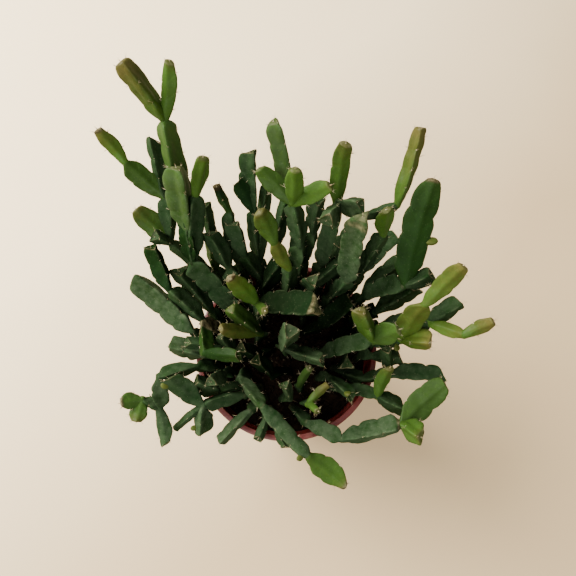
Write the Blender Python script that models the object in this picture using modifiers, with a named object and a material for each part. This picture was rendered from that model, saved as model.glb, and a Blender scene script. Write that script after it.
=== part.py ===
"""A rhipsalis in its nursery pot.

A jointed epiphytic cactus with thick two-winged and three-winged segments, rooted in a full pot.
Run with: blender --background --python part.py

The tables and the skeleton are in millimetres, and meshes are made in metres. +Z is up, the origin is the
middle of the pot's underside, and -Y is the side over which the long front stem trails.
"""
import math
from dataclasses import dataclass

import bmesh
import bpy
import numpy as np

MM = 0.001

# Pot, in mm
RIM_RADIUS = 52.5
RIM_HEIGHT = 90.0
LIP_WIDTH = 2.8
LIP_DEPTH = 1.9
WALL = 1.4
BASE_RADIUS = 36.0
COLLAR_HEIGHT = 12.0
COLLAR_STEP = 1.7
EDGE = 0.6
POT_STEPS = 40
DRAIN_HOLES = 6
DRAIN_HOLE_RADIUS = 3.5
DRAIN_HOLE_SIDES = 8
DRAIN_RING_RADIUS = 25.0

# Soil, in mm
SOIL_TOP = 79.0
SOIL_EDGE = 46.9
SOIL_RINGS = (12.0, 24.0, 36.0)
SOIL_STEPS = 24
GAP = 0.4

# Feet of the stems and their holes in the soil, in mm
FOOT_RADIUS = 1.8
FOOT_DEPTH = 12.0
FOOT_RISE = 4.0
FOOT_STRAIGHT = 1.5
FOOT_HOLE_RADIUS = 2.7
FOOT_HOLE_SIDES = 5

# Segments of the stems, in mm where they are lengths
SIDES = 6
NECK = 1.9
BLADE_THICKNESS = 3.8
HOLLOW = 0.42
SCALLOP_LENGTH = 9.5
FEWEST_SCALLOPS = 2
MOST_SCALLOPS = 4
CREST = 0.62
NOTCH = 0.8
OTHER_WING = 0.85
WIDEST = 0.6
NARROW_BASE = 0.22
NARROW_END = {2: 0.30, 3: 0.12}
FOOT_SIZES = ((0.35, 0.85, 0.8), (0.75, 1.0, 1.0))
TIP_SIZES = (1.0, 0.62, 0.58)
SINK = 2.2
SUNK_SIZE = 0.9
MITRE_GAP = 0.3
SAG = 0.05

# The broad side of a flat segment turns to where the light comes from, and one that points at the light
# is levelled with FORWARD instead
LIGHT = np.array([0.0, -0.36, 0.93])
FORWARD = np.array([0.0, 1.0, 0.0])
FACING_LIGHT = 0.15

# How the stems are parted: small balls along the middle and the wings stand for each segment, lengths in mm
STATIONS = 8
CORE_BALL = 2.1
WING_BALL = 1.5
BALLS = 7
ALONG = (np.arange(STATIONS) + 0.5) / STATIONS
TAPER = np.clip(np.minimum(ALONG, 1 - ALONG) * 5, 0.35, 1.0)
CLEARANCE = 0.9
SEAT_CLEARANCE = 0.5
SOIL_BUMP = 1.0
LIP_MARGIN = 3.0
PARTING_STEPS = 200
RELIST_STEPS = 8
NEAR_PAIR = 3.0
EASE = 0.7
STIFFNESS = 0.5

# Joints of every stem, in mm. "root" is the place of the foot in the soil. Each run starts at a numbered
# joint, and each of its segments is (x, y, z of its far joint, width, wings, turn in degrees).
# Joint 0 is the root, and joints are numbered in the order in which they stand here. Width is measured
# from one wing's edge to the next one's.
STEMS = {
    "stem_tall_left": ((-27, 18), [
        (0, [(-31, 16, 104, 8, 3, 0), (-49, 37, 134, 13, 3, 30), (-42, 59, 160, 11, 3, 0),
             (-37, 62, 182, 10, 2, 60)]),
        (2, [(-49, 64, 174, 11, 3, 30)]),
        (2, [(-55, 84, 184, 12, 3, 0), (-66, 92, 208, 11, 3, 0)]),
        (6, [(-47, 92, 206, 8, 2, 0)])]),
    "stem_left_fork": ((-28, 11), [
        (0, [(-45, 30, 112, 8, 3, 0), (-63, 46, 132, 9, 3, 0), (-61, 62, 150, 9, 3, 30),
             (-65, 82, 170, 8, 3, 0)]),
        (3, [(-77, 71, 166, 12, 2, 0), (-86, 78, 180, 8, 2, 0)]),
        (2, [(-78, 55, 148, 10, 2, 0)]),
        (2, [(-66, 38, 150, 8, 3, 0)])]),
    "stem_left_cork": ((-36, 7), [
        (0, [(-52, 12, 104, 8, 3, 0), (-63, 28, 120, 10, 3, 0), (-68, 43, 139, 10, 3, 30)]),
        (1, [(-42, -13, 114, 9, 3, 0), (-29, -15, 126, 10, 2, 0)])]),
    "stem_left_broad": ((-42, 1), [(0, [(-54, 7, 105, 7, 3, 0), (-80, 34, 121, 14, 3, 30)])]),
    "stem_left_knob": ((-37, 15), [(0, [(-46, 16, 98, 8, 3, 0), (-56, 31, 124, 11, 3, 0)])]),
    "stem_left_star": ((-38, -5), [(0, [(-52, -4, 96, 8, 3, 0), (-66, -1, 105, 10, 3, 0)])]),
    "stem_left_stub": ((-32, 0), [(0, [(-46, -4, 93, 7, 3, 0), (-55, 8, 108, 8, 3, 0)])]),
    "stem_low_left": ((-36, -12), [
        (0, [(-53, -5, 97, 8, 3, 0), (-63, -20, 106, 9, 3, 0), (-66, -36, 104, 10, 3, 30),
             (-75, -33, 106, 7, 3, 0), (-85, -35, 110, 10, 2, 0)]),
        (4, [(-79, -45, 104, 10, 2, 0)]),
        (3, [(-65, -54, 98, 9, 2, 0)])]),
    "stem_low_mid": ((-15, -22), [
        (0, [(-25, -25, 96, 8, 3, 0), (-46, -32, 100, 9, 3, 30), (-45, -47, 95, 10, 3, 0)]),
        (2, [(-62, -22, 114, 12, 2, 0)]),
        (2, [(-60, -46, 91, 5, 3, 0)])]),
    "stem_low_star": ((-30, -14), [(0, [(-44, -13, 94, 7, 3, 0), (-39, -24, 115, 8, 3, 0)])]),
    "stem_front_left": ((-12, -28), [(0, [(-20, -38, 93, 7, 3, 0), (-33, -54, 95, 8, 3, 0)])]),
    "stem_front_stub": ((-9, -34), [(0, [(-14, -41, 92, 6, 3, 0), (-15, -54, 94, 6, 3, 0)])]),
    "stem_front_long": ((-22, -14), [
        (0, [(-28, -26, 102, 8, 3, 0), (-12, -37, 116, 9, 3, 0), (11, -59, 112, 12, 3, 30),
             (31, -72, 98, 13, 2, 0)])]),
    "stem_trail": ((3, -33), [
        (0, [(11, -42, 95, 7, 3, 0), (29, -50, 99, 9, 3, 30), (59, -43, 106, 12, 3, 0),
             (64, -52, 116, 12, 3, 0)]),
        (3, [(82, -26, 114, 14, 2, 0)])]),
    "stem_right_low": ((27, -11), [
        (0, [(42, -17, 98, 8, 3, 0), (56, -18, 106, 8, 3, 0), (83, -20, 110, 10, 3, 30)]),
        (2, [(52, -8, 124, 7, 3, 0)])]),
    "stem_right_tuft": ((23, -22), [
        (0, [(32, -23, 96, 8, 3, 0), (49, -27, 102, 8, 3, 30), (61, -36, 100, 10, 3, 0)]),
        (2, [(52, -19, 122, 8, 2, 0)])]),
    "stem_right_tip": ((18, -17), [(0, [(26, -20, 98, 7, 3, 0), (33, -32, 114, 8, 3, 0)])]),
    "stem_right_grey": ((35, -5), [(0, [(33, -19, 118, 9, 3, 0)])]),
    "stem_front_knob": ((15, -31), [
        (0, [(12, -35, 104, 10, 3, 0), (16, -39, 112, 4, 2, 0)]),
        (1, [(21, -26, 111, 5, 2, 0)])]),
    "stem_centre_tip": ((8, -24), [(0, [(7, -24, 100, 6, 3, 0), (12, -18, 114, 5, 2, 0)])]),
    "stem_centre_white": ((-3, -29), [(0, [(2, -31, 98, 6, 3, 0), (-1, -26, 112, 7, 3, 0)])]),
    "stem_right_arm": ((11, -1), [
        (0, [(19, -10, 106, 8, 3, 0), (43, -7, 128, 10, 3, 30), (53, -5, 140, 12, 2, 0)]),
        (2, [(35, 3, 144, 10, 3, 0)])]),
    "stem_right_green": ((35, 4), [
        (0, [(48, -3, 100, 8, 3, 0), (59, -6, 122, 9, 3, 30), (66, 5, 148, 11, 2, 0),
             (75, 14, 170, 9, 2, 0)]),
        (2, [(70, -7, 134, 11, 3, 0)])]),
    "stem_right_bow": ((38, 11), [
        (0, [(55, 10, 106, 8, 3, 0), (70, 0, 132, 9, 3, 0), (82, -7, 144, 8, 2, 0),
             (93, -4, 154, 7, 2, 0)]),
        (2, [(84, 9, 138, 10, 3, 0)])]),
    "stem_paddle": ((30, 20), [
        (0, [(48, 20, 112, 9, 3, 0), (60, 16, 142, 11, 3, 30), (63, 52, 178, 16, 2, 0)]),
        (2, [(70, 20, 150, 10, 3, 0)]),
        (1, [(59, 36, 134, 10, 3, 0)])]),
    "stem_right_rough": ((37, 19), [(0, [(58, 13, 100, 8, 3, 0), (58, 24, 126, 10, 3, 0)])]),
    "stem_far_right": ((24, 32), [
        (0, [(30, 30, 118, 8, 3, 0), (36, 45, 158, 9, 3, 30), (50, 46, 168, 6, 3, 0),
             (57, 68, 192, 7, 3, 0)])]),
    "stem_far_right_bright": ((31, 28), [
        (0, [(45, 28, 116, 8, 3, 0), (47, 39, 150, 9, 3, 0), (45, 43, 168, 9, 2, 0)]),
        (1, [(60, 45, 132, 11, 3, 30)])]),
    "stem_near_olive": ((22, 18), [
        (0, [(26, 18, 112, 8, 3, 0), (30, 21, 140, 9, 3, 0), (32, 30, 182, 10, 3, 30)])]),
    "stem_top_right": ((16, 28), [
        (0, [(21, 34, 124, 9, 3, 0), (24, 47, 166, 9, 3, 30), (23, 57, 196, 9, 2, 0)]),
        (2, [(34, 42, 178, 9, 3, 0)]),
        (2, [(17, 31, 180, 9, 3, 0)])]),
    "stem_crown": ((6, 26), [
        (0, [(3, 28, 108, 8, 3, 0), (6, 41, 142, 9, 3, 30), (3, 49, 166, 11, 3, 0),
             (4, 52, 188, 9, 2, 0)]),
        (3, [(19, 49, 182, 10, 2, 0)]),
        (3, [(-12, 59, 178, 10, 2, 0)])]),
    "stem_crown_back": ((-2, 39), [
        (0, [(-2, 44, 120, 8, 3, 0), (-1, 58, 158, 9, 3, 0), (-6, 75, 190, 9, 3, 30)])]),
    "stem_mid_leaf": ((-7, 24), [
        (0, [(-1, 27, 114, 8, 3, 0), (-1, 30, 142, 9, 3, 0), (-6, 32, 160, 8, 2, 0),
             (-12, 39, 176, 10, 2, 0)])]),
    "stem_back_grey": ((-12, 39), [
        (0, [(-16, 46, 108, 8, 3, 0), (-18, 62, 136, 8, 3, 0), (-20, 82, 160, 9, 3, 30)]),
        (2, [(-27, 72, 152, 7, 2, 0)]),
        (1, [(-9, 72, 144, 7, 3, 0)])]),
    "stem_back_left": ((-21, 35), [
        (0, [(-31, 42, 112, 8, 3, 0), (-30, 61, 136, 9, 3, 30), (-37, 70, 148, 6, 3, 0)])]),
    "stem_back_left_thin": ((-25, 29), [
        (0, [(-41, 37, 112, 8, 3, 0), (-43, 63, 140, 7, 3, 0)]),
        (1, [(-39, 42, 132, 10, 3, 0)])]),
    "stem_mid_big": ((-15, 10), [
        (0, [(-15, 14, 122, 9, 3, 0), (17, 9, 140, 14, 3, 30)]),
        (1, [(-27, 20, 144, 11, 2, 0)]),
        (1, [(-10, 4, 142, 6, 2, 0)])]),
    "stem_mid_low": ((-18, 4), [
        (0, [(-15, 0, 110, 8, 3, 0), (-33, -2, 132, 8, 2, 0)]),
        (1, [(-27, 8, 134, 10, 3, 0)])]),
    "stem_mid_spot": ((0, -2), [
        (0, [(-2, -6, 112, 8, 3, 0), (2, -4, 136, 11, 3, 0)]),
        (1, [(18, -16, 124, 8, 3, 0)])]),
    "stem_mid_dark": ((-13, 22), [(0, [(-18, 26, 110, 8, 3, 0), (1, 29, 132, 11, 3, 0)])]),
    "stem_mid_arm": ((10, 17), [
        (0, [(8, 28, 116, 8, 3, 0), (31, 34, 140, 8, 3, 0)]),
        (1, [(11, 17, 142, 9, 3, 30)])]),
    "stem_left_dark": ((-19, 19), [
        (0, [(-24, 26, 104, 8, 3, 0), (-37, 37, 122, 11, 3, 30), (-45, 49, 138, 11, 3, 0)])]),
    "stem_back_dark": ((-8, 31), [
        (0, [(-14, 35, 105, 8, 3, 0), (-25, 43, 122, 11, 3, 0), (-30, 53, 138, 10, 3, 30)])]),
    "stem_back_mid": ((9, 37), [
        (0, [(10, 45, 110, 8, 3, 0), (14, 49, 134, 10, 3, 30), (16, 60, 150, 10, 3, 0)])]),
    "stem_back_right": ((20, 37), [(0, [(30, 45, 110, 8, 3, 0), (36, 52, 134, 11, 3, 0)])]),
    "stem_mid_right": ((8, 10), [(0, [(17, 13, 104, 8, 3, 0), (35, 18, 122, 11, 3, 30)])]),
    "stem_inner_right": ((26, 6), [(0, [(37, 8, 104, 8, 3, 0), (30, 17, 124, 10, 3, 0)])]),
    "stem_inner_left": ((-5, 5), [(0, [(-14, -5, 100, 7, 3, 0), (-24, -6, 116, 9, 3, 0)])]),
    "stem_low_inner": ((-19, -6), [(0, [(-27, -12, 98, 7, 3, 0), (-39, -3, 112, 9, 3, 0)])]),
    "stem_low_dark": ((-22, -21), [(0, [(-34, -24, 97, 7, 3, 0), (-47, -18, 108, 10, 3, 30)])]),
    "stem_middle": ((2, -13), [(0, [(-8, -18, 98, 7, 3, 0), (-16, -13, 112, 9, 3, 0)])]),
    "stem_right_inner": ((41, -6), [(0, [(50, -11, 99, 7, 3, 0), (61, -8, 110, 9, 3, 0)])]),
    "stem_back_core": ((1, 32), [(0, [(1, 38, 116, 8, 3, 0), (7, 46, 134, 10, 3, 0)])]),
    "stem_front_short": ((-3, -39), [(0, [(-5, -47, 95, 6, 3, 0), (0, -58, 95, 7, 3, 0)])]),
}


@dataclass
class Segment:
    """One segment of a stem, between two joints of the skeleton."""
    stem: str
    run: int
    near: int
    far: int
    half: float
    wings: int
    turn: float
    ends_run: bool


class Skeleton:
    """The joints of all stems as one array, and the segments between them."""

    def __init__(self, table):
        joints = []
        self.roots = []
        self.segments = []
        for stem, (root, runs) in table.items():
            first = len(joints)
            self.roots.append(first)
            joints.append((*root, SOIL_TOP + FOOT_RISE))
            for number, (start, pieces) in enumerate(runs):
                near = first + start
                for place, (x, y, z, width, wings, turn) in enumerate(pieces):
                    far = len(joints)
                    joints.append((x, y, z))
                    half = width / 2 / math.sin(math.pi / wings)
                    last = place == len(pieces) - 1
                    self.segments.append(Segment(stem, number, near, far, half, wings, turn, last))
                    near = far
        self.joints = np.array(joints, dtype=float)
        self.near = np.array([s.near for s in self.segments])
        self.far = np.array([s.far for s in self.segments])
        self.half = np.array([s.half for s in self.segments])
        self.turn = np.radians([s.turn for s in self.segments])[:, None]

    def chords(self):
        """The straight line of every segment, from its near joint to its far one."""
        return self.joints[self.far] - self.joints[self.near]

    def frames(self):
        """The axis of every segment, and the two directions across it."""
        axis = unit(self.chords())
        side = np.cross(LIGHT, axis)
        level = np.cross(FORWARD, axis)
        side = unit(np.where(np.linalg.norm(side, axis=1, keepdims=True) > FACING_LIGHT, side, level))
        across = np.cross(axis, side)
        c, s = np.cos(self.turn), np.sin(self.turn)
        return axis, side * c + across * s, across * c - side * s

    def middles(self, along):
        """Points on the middle line of every segment, where 0 is the near joint and 1 the far one.

        The line sags a little between its joints, because a growing segment turns up to the light.
        """
        chord = self.chords()
        length = np.linalg.norm(chord, axis=1, keepdims=True)
        axis = chord / length
        upward = LIGHT - (axis @ LIGHT)[:, None] * axis
        along = np.asarray(along)[None, :, None]
        sag = SAG * 4 * along * (1 - along)
        return self.joints[self.near][:, None] + chord[:, None] * along - (upward * length)[:, None] * sag


def unit(vectors):
    """Vectors scaled to length one."""
    return vectors / np.linalg.norm(vectors, axis=-1, keepdims=True)


def wing_angles(wings):
    """The directions of the wings round the axis, in degrees."""
    return (0.0, 180.0) if wings == 2 else (90.0, 210.0, 330.0)


class Parting:
    """Bends the stems clear of one another, of the pot's lip and of the soil.

    Roots stay where they are, and every segment keeps its length.
    """

    def __init__(self, skeleton):
        self.skeleton = skeleton
        self.lengths = np.linalg.norm(skeleton.chords(), axis=1)
        self.offsets = np.array([self.ball_offsets(s) for s in skeleton.segments])
        self.radii = np.tile(self.offsets[:, :, 2], (1, STATIONS))
        self.places = np.repeat(ALONG, BALLS)
        self.free = np.ones(len(skeleton.joints), dtype=bool)
        self.free[skeleton.roots] = False

    @staticmethod
    def ball_offsets(segment):
        """Where the balls of one cross-section lie, and their radii."""
        offsets = [(0.0, 0.0, CORE_BALL)]
        for angle in np.radians(wing_angles(segment.wings)):
            for reach in (segment.half / 2, max(segment.half - WING_BALL, WING_BALL / 2)):
                offsets.append((math.cos(angle) * reach, math.sin(angle) * reach, WING_BALL))
        return offsets + [offsets[0]] * (BALLS - len(offsets))

    def balls(self):
        """The centres of all the balls, a row of them for each segment."""
        _, side, across = self.skeleton.frames()
        u, v = self.offsets[:, :, 0, None], self.offsets[:, :, 1, None]
        cross = u * side[:, None] + v * across[:, None]
        line = self.skeleton.middles(ALONG)
        centres = line[:, :, None] + cross[:, None] * TAPER[None, :, None, None]
        return centres.reshape(len(line), -1, 3)

    def depths(self, centres, one, two):
        """How deep the balls of one segment lie in those of another, and the lines between them."""
        between = centres[one][:, None] - centres[two][None]
        distance = np.sqrt((between ** 2).sum(axis=2))
        return self.radii[one][:, None] + self.radii[two][None] + CLEARANCE - distance, between, distance

    def close_pairs(self, centres):
        """Pairs of segments that share no joint and nearly touch."""
        near, far = self.skeleton.near, self.skeleton.far
        middle = centres.mean(axis=1)
        reach = self.lengths / 2 + self.skeleton.half
        apart = np.linalg.norm(middle[:, None] - middle[None], axis=2)
        joined = (near[:, None] == near) | (near[:, None] == far) | (far[:, None] == near)
        could = np.triu(apart < reach[:, None] + reach + CLEARANCE, 1) & ~joined
        pairs = zip(*np.nonzero(could))
        return [(i, j) for i, j in pairs if self.depths(centres, i, j)[0].max() > -NEAR_PAIR]

    def add_push(self, moves, counts, segment, place, push):
        """Share a push at one place of a segment between its two joints."""
        for joint, part in ((self.skeleton.near[segment], 1 - place), (self.skeleton.far[segment], place)):
            if self.free[joint]:
                moves[joint] += push * part
                counts[joint] += 1

    def add_contacts(self, moves, counts, centres, pairs):
        """Push each pair of segments apart where they are deepest in one another."""
        for one, two in pairs:
            depth, between, distance = self.depths(centres, one, two)
            worst = np.unravel_index(depth.argmax(), depth.shape)
            if depth[worst] <= 0:
                continue
            push = between[worst] / max(distance[worst], MM) * depth[worst] / 2
            for segment, ball, sign in ((one, worst[0], 1), (two, worst[1], -1)):
                place = self.places[ball]
                whole = (1 - place) ** 2 + place ** 2
                self.add_push(moves, counts, segment, place, push * sign / whole)

    def add_seat(self, moves, counts, centres):
        """Lift what lies too low over the soil, the pot's lip or the surface below."""
        radius = np.hypot(centres[:, :, 0], centres[:, :, 1])
        over_pot = radius < RIM_RADIUS + LIP_MARGIN
        over_lip = over_pot & (radius > RIM_RADIUS - LIP_WIDTH - LIP_MARGIN)
        ground = np.where(over_lip, RIM_HEIGHT, np.where(over_pot, SOIL_TOP + SOIL_BUMP, 0.0))
        lift = ground + self.radii + SEAT_CLEARANCE - centres[:, :, 2]
        for segment, ball in enumerate(lift.argmax(axis=1)):
            if lift[segment, ball] > 0:
                push = np.array([0.0, 0.0, lift[segment, ball]])
                self.add_push(moves, counts, segment, self.places[ball], push)

    def keep_lengths(self):
        """Draw the joints of each segment back to its own length."""
        joints = self.skeleton.joints
        for near, far, length in zip(self.skeleton.near, self.skeleton.far, self.lengths):
            line = joints[far] - joints[near]
            now = np.linalg.norm(line)
            fix = line / now * (now - length) * STIFFNESS
            if self.free[near]:
                joints[near] += fix / 2
                joints[far] -= fix / 2
            else:
                joints[far] -= fix

    def run(self):
        """Part the stems in many small steps."""
        pairs = []
        for step in range(PARTING_STEPS):
            centres = self.balls()
            if step % RELIST_STEPS == 0:
                pairs = self.close_pairs(centres)
            moves = np.zeros_like(self.skeleton.joints)
            counts = np.zeros(len(moves))
            self.add_contacts(moves, counts, centres, pairs)
            self.add_seat(moves, counts, centres)
            self.skeleton.joints += EASE * moves / np.sqrt(np.maximum(counts, 1))[:, None]
            self.keep_lengths()


def circle_points(radius):
    """Points round a neck or a foot, in mm."""
    angles = [math.pi / 2 + math.tau * k / SIDES for k in range(SIDES)]
    return [(radius * math.cos(angle), radius * math.sin(angle)) for angle in angles]


def section(segment, size, other_size):
    """Six points across a segment: the wings' edges and the hollows or flats between them, in mm.

    The sizes are parts of the full half width, for the first wings and for the one that is notched in turn.
    """
    reach = max(segment.half * size, NECK)
    other = max(segment.half * other_size, NECK)
    if segment.wings == 2:
        flat = min(BLADE_THICKNESS / 2, max(NECK * NOTCH, reach * CREST))
        near, far = reach * HOLLOW, -other * HOLLOW
        return [(reach, 0), (near, flat), (far, flat), (-other, 0), (far, -flat), (near, -flat)]
    hollow = max(NECK, segment.half * HOLLOW * min(1.0, size + 1 - NOTCH))
    radii = (reach, hollow, other, hollow, reach, hollow)
    return [(u * radius, v * radius) for (u, v), radius in zip(circle_points(1.0), radii)]


def fullness(along, wings):
    """How full the wings are along a segment: narrow at the base, widest past the middle."""
    if along < WIDEST:
        return 1 - NARROW_BASE * (1 - along / WIDEST) ** 2
    return 1 - NARROW_END[wings] * ((along - WIDEST) / (1 - WIDEST)) ** 2


def ring_sizes(segment, length, rooted):
    """Places along a segment, from 0 to 1, with the sizes of its two sets of wings there."""
    if rooted:
        return list(FOOT_SIZES)
    count = int(min(MOST_SCALLOPS, max(FEWEST_SCALLOPS, round(length / SCALLOP_LENGTH))))
    sizes = []
    for number in range(count):
        crest, notch = (number + CREST) / count, (number + 1) / count
        full = fullness(crest, segment.wings)
        sizes.append((crest, full, full * OTHER_WING))
        if number < count - 1:
            full = fullness(notch, segment.wings)
            sizes.append((notch, full * NOTCH, full))
    if segment.ends_run:
        sizes.append(TIP_SIZES)
    return sizes


def keep_above(point, base, normal, axis, gap):
    """Move a point along the axis until it is the gap's width past a plane."""
    short = gap - np.dot(point - base, normal)
    return point + axis * max(short, 0.0) / np.dot(axis, normal)


def matched(ring, base):
    """The ring's points, renumbered so that each sits nearest to its point of the base ring."""
    ring, base = np.array(ring), np.array(base)
    spokes, held = ring - ring.mean(axis=0), base - base.mean(axis=0)
    best = max(range(SIDES), key=lambda shift: float((np.roll(spokes, -shift, axis=0) * held).sum()))
    return np.roll(ring, -best, axis=0)


class RunShape:
    """The rings of one run of segments, from its rooted or sunk start to its tip."""

    def __init__(self, skeleton, frames, numbers):
        self.skeleton = skeleton
        self.numbers = numbers
        self.segments = [skeleton.segments[n] for n in numbers]
        self.axes, self.sides, self.acrosses = (part[numbers] for part in frames)
        self.rooted = self.segments[0].near in skeleton.roots
        self.rings = []

    def ring(self, middle, place, points):
        """Points of one ring round a middle, in the frame of the segment at this place of the run."""
        return [middle + self.sides[place] * u + self.acrosses[place] * v for u, v in points]

    def add_start(self):
        """The straight foot that stands in the soil, or the ring that is sunk in the parent."""
        start = self.skeleton.joints[self.segments[0].near]
        if self.rooted:
            for drop in (FOOT_RISE + FOOT_DEPTH, FOOT_RISE - FOOT_STRAIGHT):
                self.rings.append([start + np.array([u, v, -drop]) for u, v in circle_points(FOOT_RADIUS)])
        else:
            sunk = [(u * SUNK_SIZE, v * SUNK_SIZE) for u, v in circle_points(FOOT_RADIUS)]
            self.rings.append(self.ring(start - self.axes[0] * SINK, 0, sunk))

    def add_neck(self, place, plane):
        """The neck where two segments meet, cut along the plane that halves their bend."""
        base = self.skeleton.joints[self.segments[place].near]
        axis = self.axes[place]
        points = self.ring(base, place, circle_points(NECK))
        flat = [p - axis * np.dot(p - base, plane) / np.dot(axis, plane) for p in points]
        self.rings.append(matched(flat, self.rings[-1]))

    def add_segment(self, place, low, high):
        """The crests and notches of one segment, kept on its own side of the bends at its joints."""
        segment = self.segments[place]
        axis = self.axes[place]
        a, b = self.skeleton.joints[segment.near], self.skeleton.joints[segment.far]
        sizes = ring_sizes(segment, float(np.linalg.norm(b - a)), self.rooted and place == 0)
        middles = self.skeleton.middles([along for along, _, _ in sizes])[self.numbers[place]]
        for middle, (_, size, other_size) in zip(middles, sizes):
            points = self.ring(middle, place, section(segment, size, other_size))
            points = [keep_above(p, a, low, axis, MITRE_GAP) for p in points]
            if not segment.ends_run:
                points = [keep_above(p, b, -high, -axis, MITRE_GAP) for p in points]
            self.rings.append(matched(points, self.rings[-1]))

    def build(self):
        """All rings of the run, in order."""
        self.add_start()
        before = np.array([0.0, 0.0, 1.0]) if self.rooted else self.axes[0]
        for place, axis in enumerate(self.axes):
            low = unit(before + axis)
            high = axis if self.segments[place].ends_run else unit(axis + self.axes[place + 1])
            if place:
                self.add_neck(place, low)
            self.add_segment(place, low, high)
            before = axis
        return self.rings


def loft(name, rings):
    """A closed solid through rings of as many points, with both ends capped."""
    mesh = bpy.data.meshes.new(name)
    bm = bmesh.new()
    loops = [[bm.verts.new(point * MM) for point in ring] for ring in rings]
    for lower, upper in zip(loops, loops[1:]):
        for k in range(SIDES):
            after = (k + 1) % SIDES
            bm.faces.new((lower[k], lower[after], upper[after]))
            bm.faces.new((lower[k], upper[after], upper[k]))
    bm.faces.new(list(reversed(loops[0])))
    bm.faces.new(loops[-1])
    bmesh.ops.recalc_face_normals(bm, faces=bm.faces)
    bm.to_mesh(mesh)
    bm.free()
    return bpy.data.objects.new(name, mesh)


def material(name, colour, roughness):
    """A plain finish for one sub-part."""
    made = bpy.data.materials.new(name)
    made.use_nodes = True
    shader = made.node_tree.nodes["Principled BSDF"]
    shader.inputs["Base Color"].default_value = (*colour, 1.0)
    shader.inputs["Roughness"].default_value = roughness
    shader.inputs["Metallic"].default_value = 0.0
    return made


def apply_modifiers(thing):
    """Give an object its evaluated mesh, and drop its modifiers."""
    bpy.context.view_layer.update()
    graph = bpy.context.evaluated_depsgraph_get()
    mesh = bpy.data.meshes.new_from_object(thing.evaluated_get(graph))
    thing.modifiers.clear()
    thing.data = mesh


def combine(thing, others, operation, name):
    """Join or cut an object by a whole collection of others, which are then removed."""
    tools = bpy.data.collections.new(name)
    bpy.context.scene.collection.children.link(tools)
    for other in others:
        tools.objects.link(other)
    modifier = thing.modifiers.new(name, "BOOLEAN")
    modifier.operation = operation
    modifier.operand_type = "COLLECTION"
    modifier.collection = tools
    modifier.solver = "EXACT"
    apply_modifiers(thing)
    for other in others:
        bpy.data.objects.remove(other)
    bpy.data.collections.remove(tools)


def make_stem(skeleton, frames, stem, home, finish):
    """One rooted stem: its main run and its side runs, joined in one solid."""
    runs = {}
    for number, segment in enumerate(skeleton.segments):
        if segment.stem == stem:
            runs.setdefault(segment.run, []).append(number)
    solids = []
    for run, numbers in runs.items():
        solids.append(loft(f"{stem}_{run}", RunShape(skeleton, frames, numbers).build()))
    body = solids[0]
    body.name = stem
    home.objects.link(body)
    if len(solids) > 1:
        combine(body, solids[1:], "UNION", f"{stem}_side_runs")
    body.data.name = stem
    body.data.materials.clear()
    body.data.materials.append(finish)
    return body


def turned(name, profile, steps, home):
    """A solid of revolution about Z, from a profile in mm that starts and ends on the axis."""
    mesh = bpy.data.meshes.new(name)
    edges = [(k, k + 1) for k in range(len(profile) - 1)]
    mesh.from_pydata([(r * MM, 0, z * MM) for r, z in profile], edges, [])
    thing = bpy.data.objects.new(name, mesh)
    home.objects.link(thing)
    screw = thing.modifiers.new("turn", "SCREW")
    screw.steps = steps
    screw.render_steps = steps
    screw.use_merge_vertices = True
    screw.merge_threshold = 0.0001
    apply_modifiers(thing)
    return thing


def upright_cylinder(x, y, bottom, top, radius, sides):
    """A cutter for a plain upright hole, with its sizes in mm."""
    place = (x * MM, y * MM, (bottom + top) / 2 * MM)
    depth = (top - bottom) * MM
    bpy.ops.mesh.primitive_cylinder_add(vertices=sides, radius=radius * MM, depth=depth, location=place)
    cutter = bpy.context.object
    bpy.context.collection.objects.unlink(cutter)
    return cutter


def wall_radius(z):
    """Radius of the inside of the pot's wall at a height, in mm."""
    top = RIM_RADIUS - LIP_WIDTH - WALL - COLLAR_STEP
    foot = BASE_RADIUS - WALL
    return foot + (top - foot) * z / (RIM_HEIGHT - COLLAR_HEIGHT)


def make_pot(home):
    """The thin plastic pot: floor, tapered wall, collar and outward lip, with drain holes in the floor."""
    step = RIM_HEIGHT - COLLAR_HEIGHT
    collar = RIM_RADIUS - LIP_WIDTH
    inside = [(0, WALL), (wall_radius(WALL) - EDGE, WALL), (wall_radius(WALL) + EDGE / 3, WALL + 2 * EDGE),
              (wall_radius(step), step), (collar - COLLAR_STEP * EDGE, step + COLLAR_STEP),
              (collar - EDGE / 3, RIM_HEIGHT - EDGE)]
    lip = [(collar + EDGE, RIM_HEIGHT), (RIM_RADIUS - EDGE, RIM_HEIGHT), (RIM_RADIUS, RIM_HEIGHT - EDGE),
           (RIM_RADIUS, RIM_HEIGHT - LIP_DEPTH)]
    outside = [(collar + WALL, RIM_HEIGHT - LIP_DEPTH - EDGE), (collar + EDGE, step + EDGE),
               (wall_radius(step) + WALL, step - EDGE), (BASE_RADIUS + EDGE, 2 * EDGE),
               (BASE_RADIUS - EDGE, 0), (0, 0)]
    pot = turned("pot", inside + lip + outside, POT_STEPS, home)
    cutters = []
    for number in range(DRAIN_HOLES):
        angle = math.tau * (number + 0.5) / DRAIN_HOLES
        x, y = DRAIN_RING_RADIUS * math.cos(angle), DRAIN_RING_RADIUS * math.sin(angle)
        cutters.append(upright_cylinder(x, y, -WALL, 3 * WALL, DRAIN_HOLE_RADIUS, DRAIN_HOLE_SIDES))
    combine(pot, cutters, "DIFFERENCE", "drain_holes")
    pot.data.materials.clear()
    pot.data.materials.append(material("terracotta_plastic", (0.48, 0.10, 0.05), 0.45))
    return pot


def soil_relief(x, y):
    """How far the soil stands above its mean level at a place, in mm."""
    return 0.7 * math.sin(x / 7.0) * math.cos(y / 9.0 + 1.0) + 0.4 * math.sin(x / 4.0 + y / 5.0)


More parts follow.
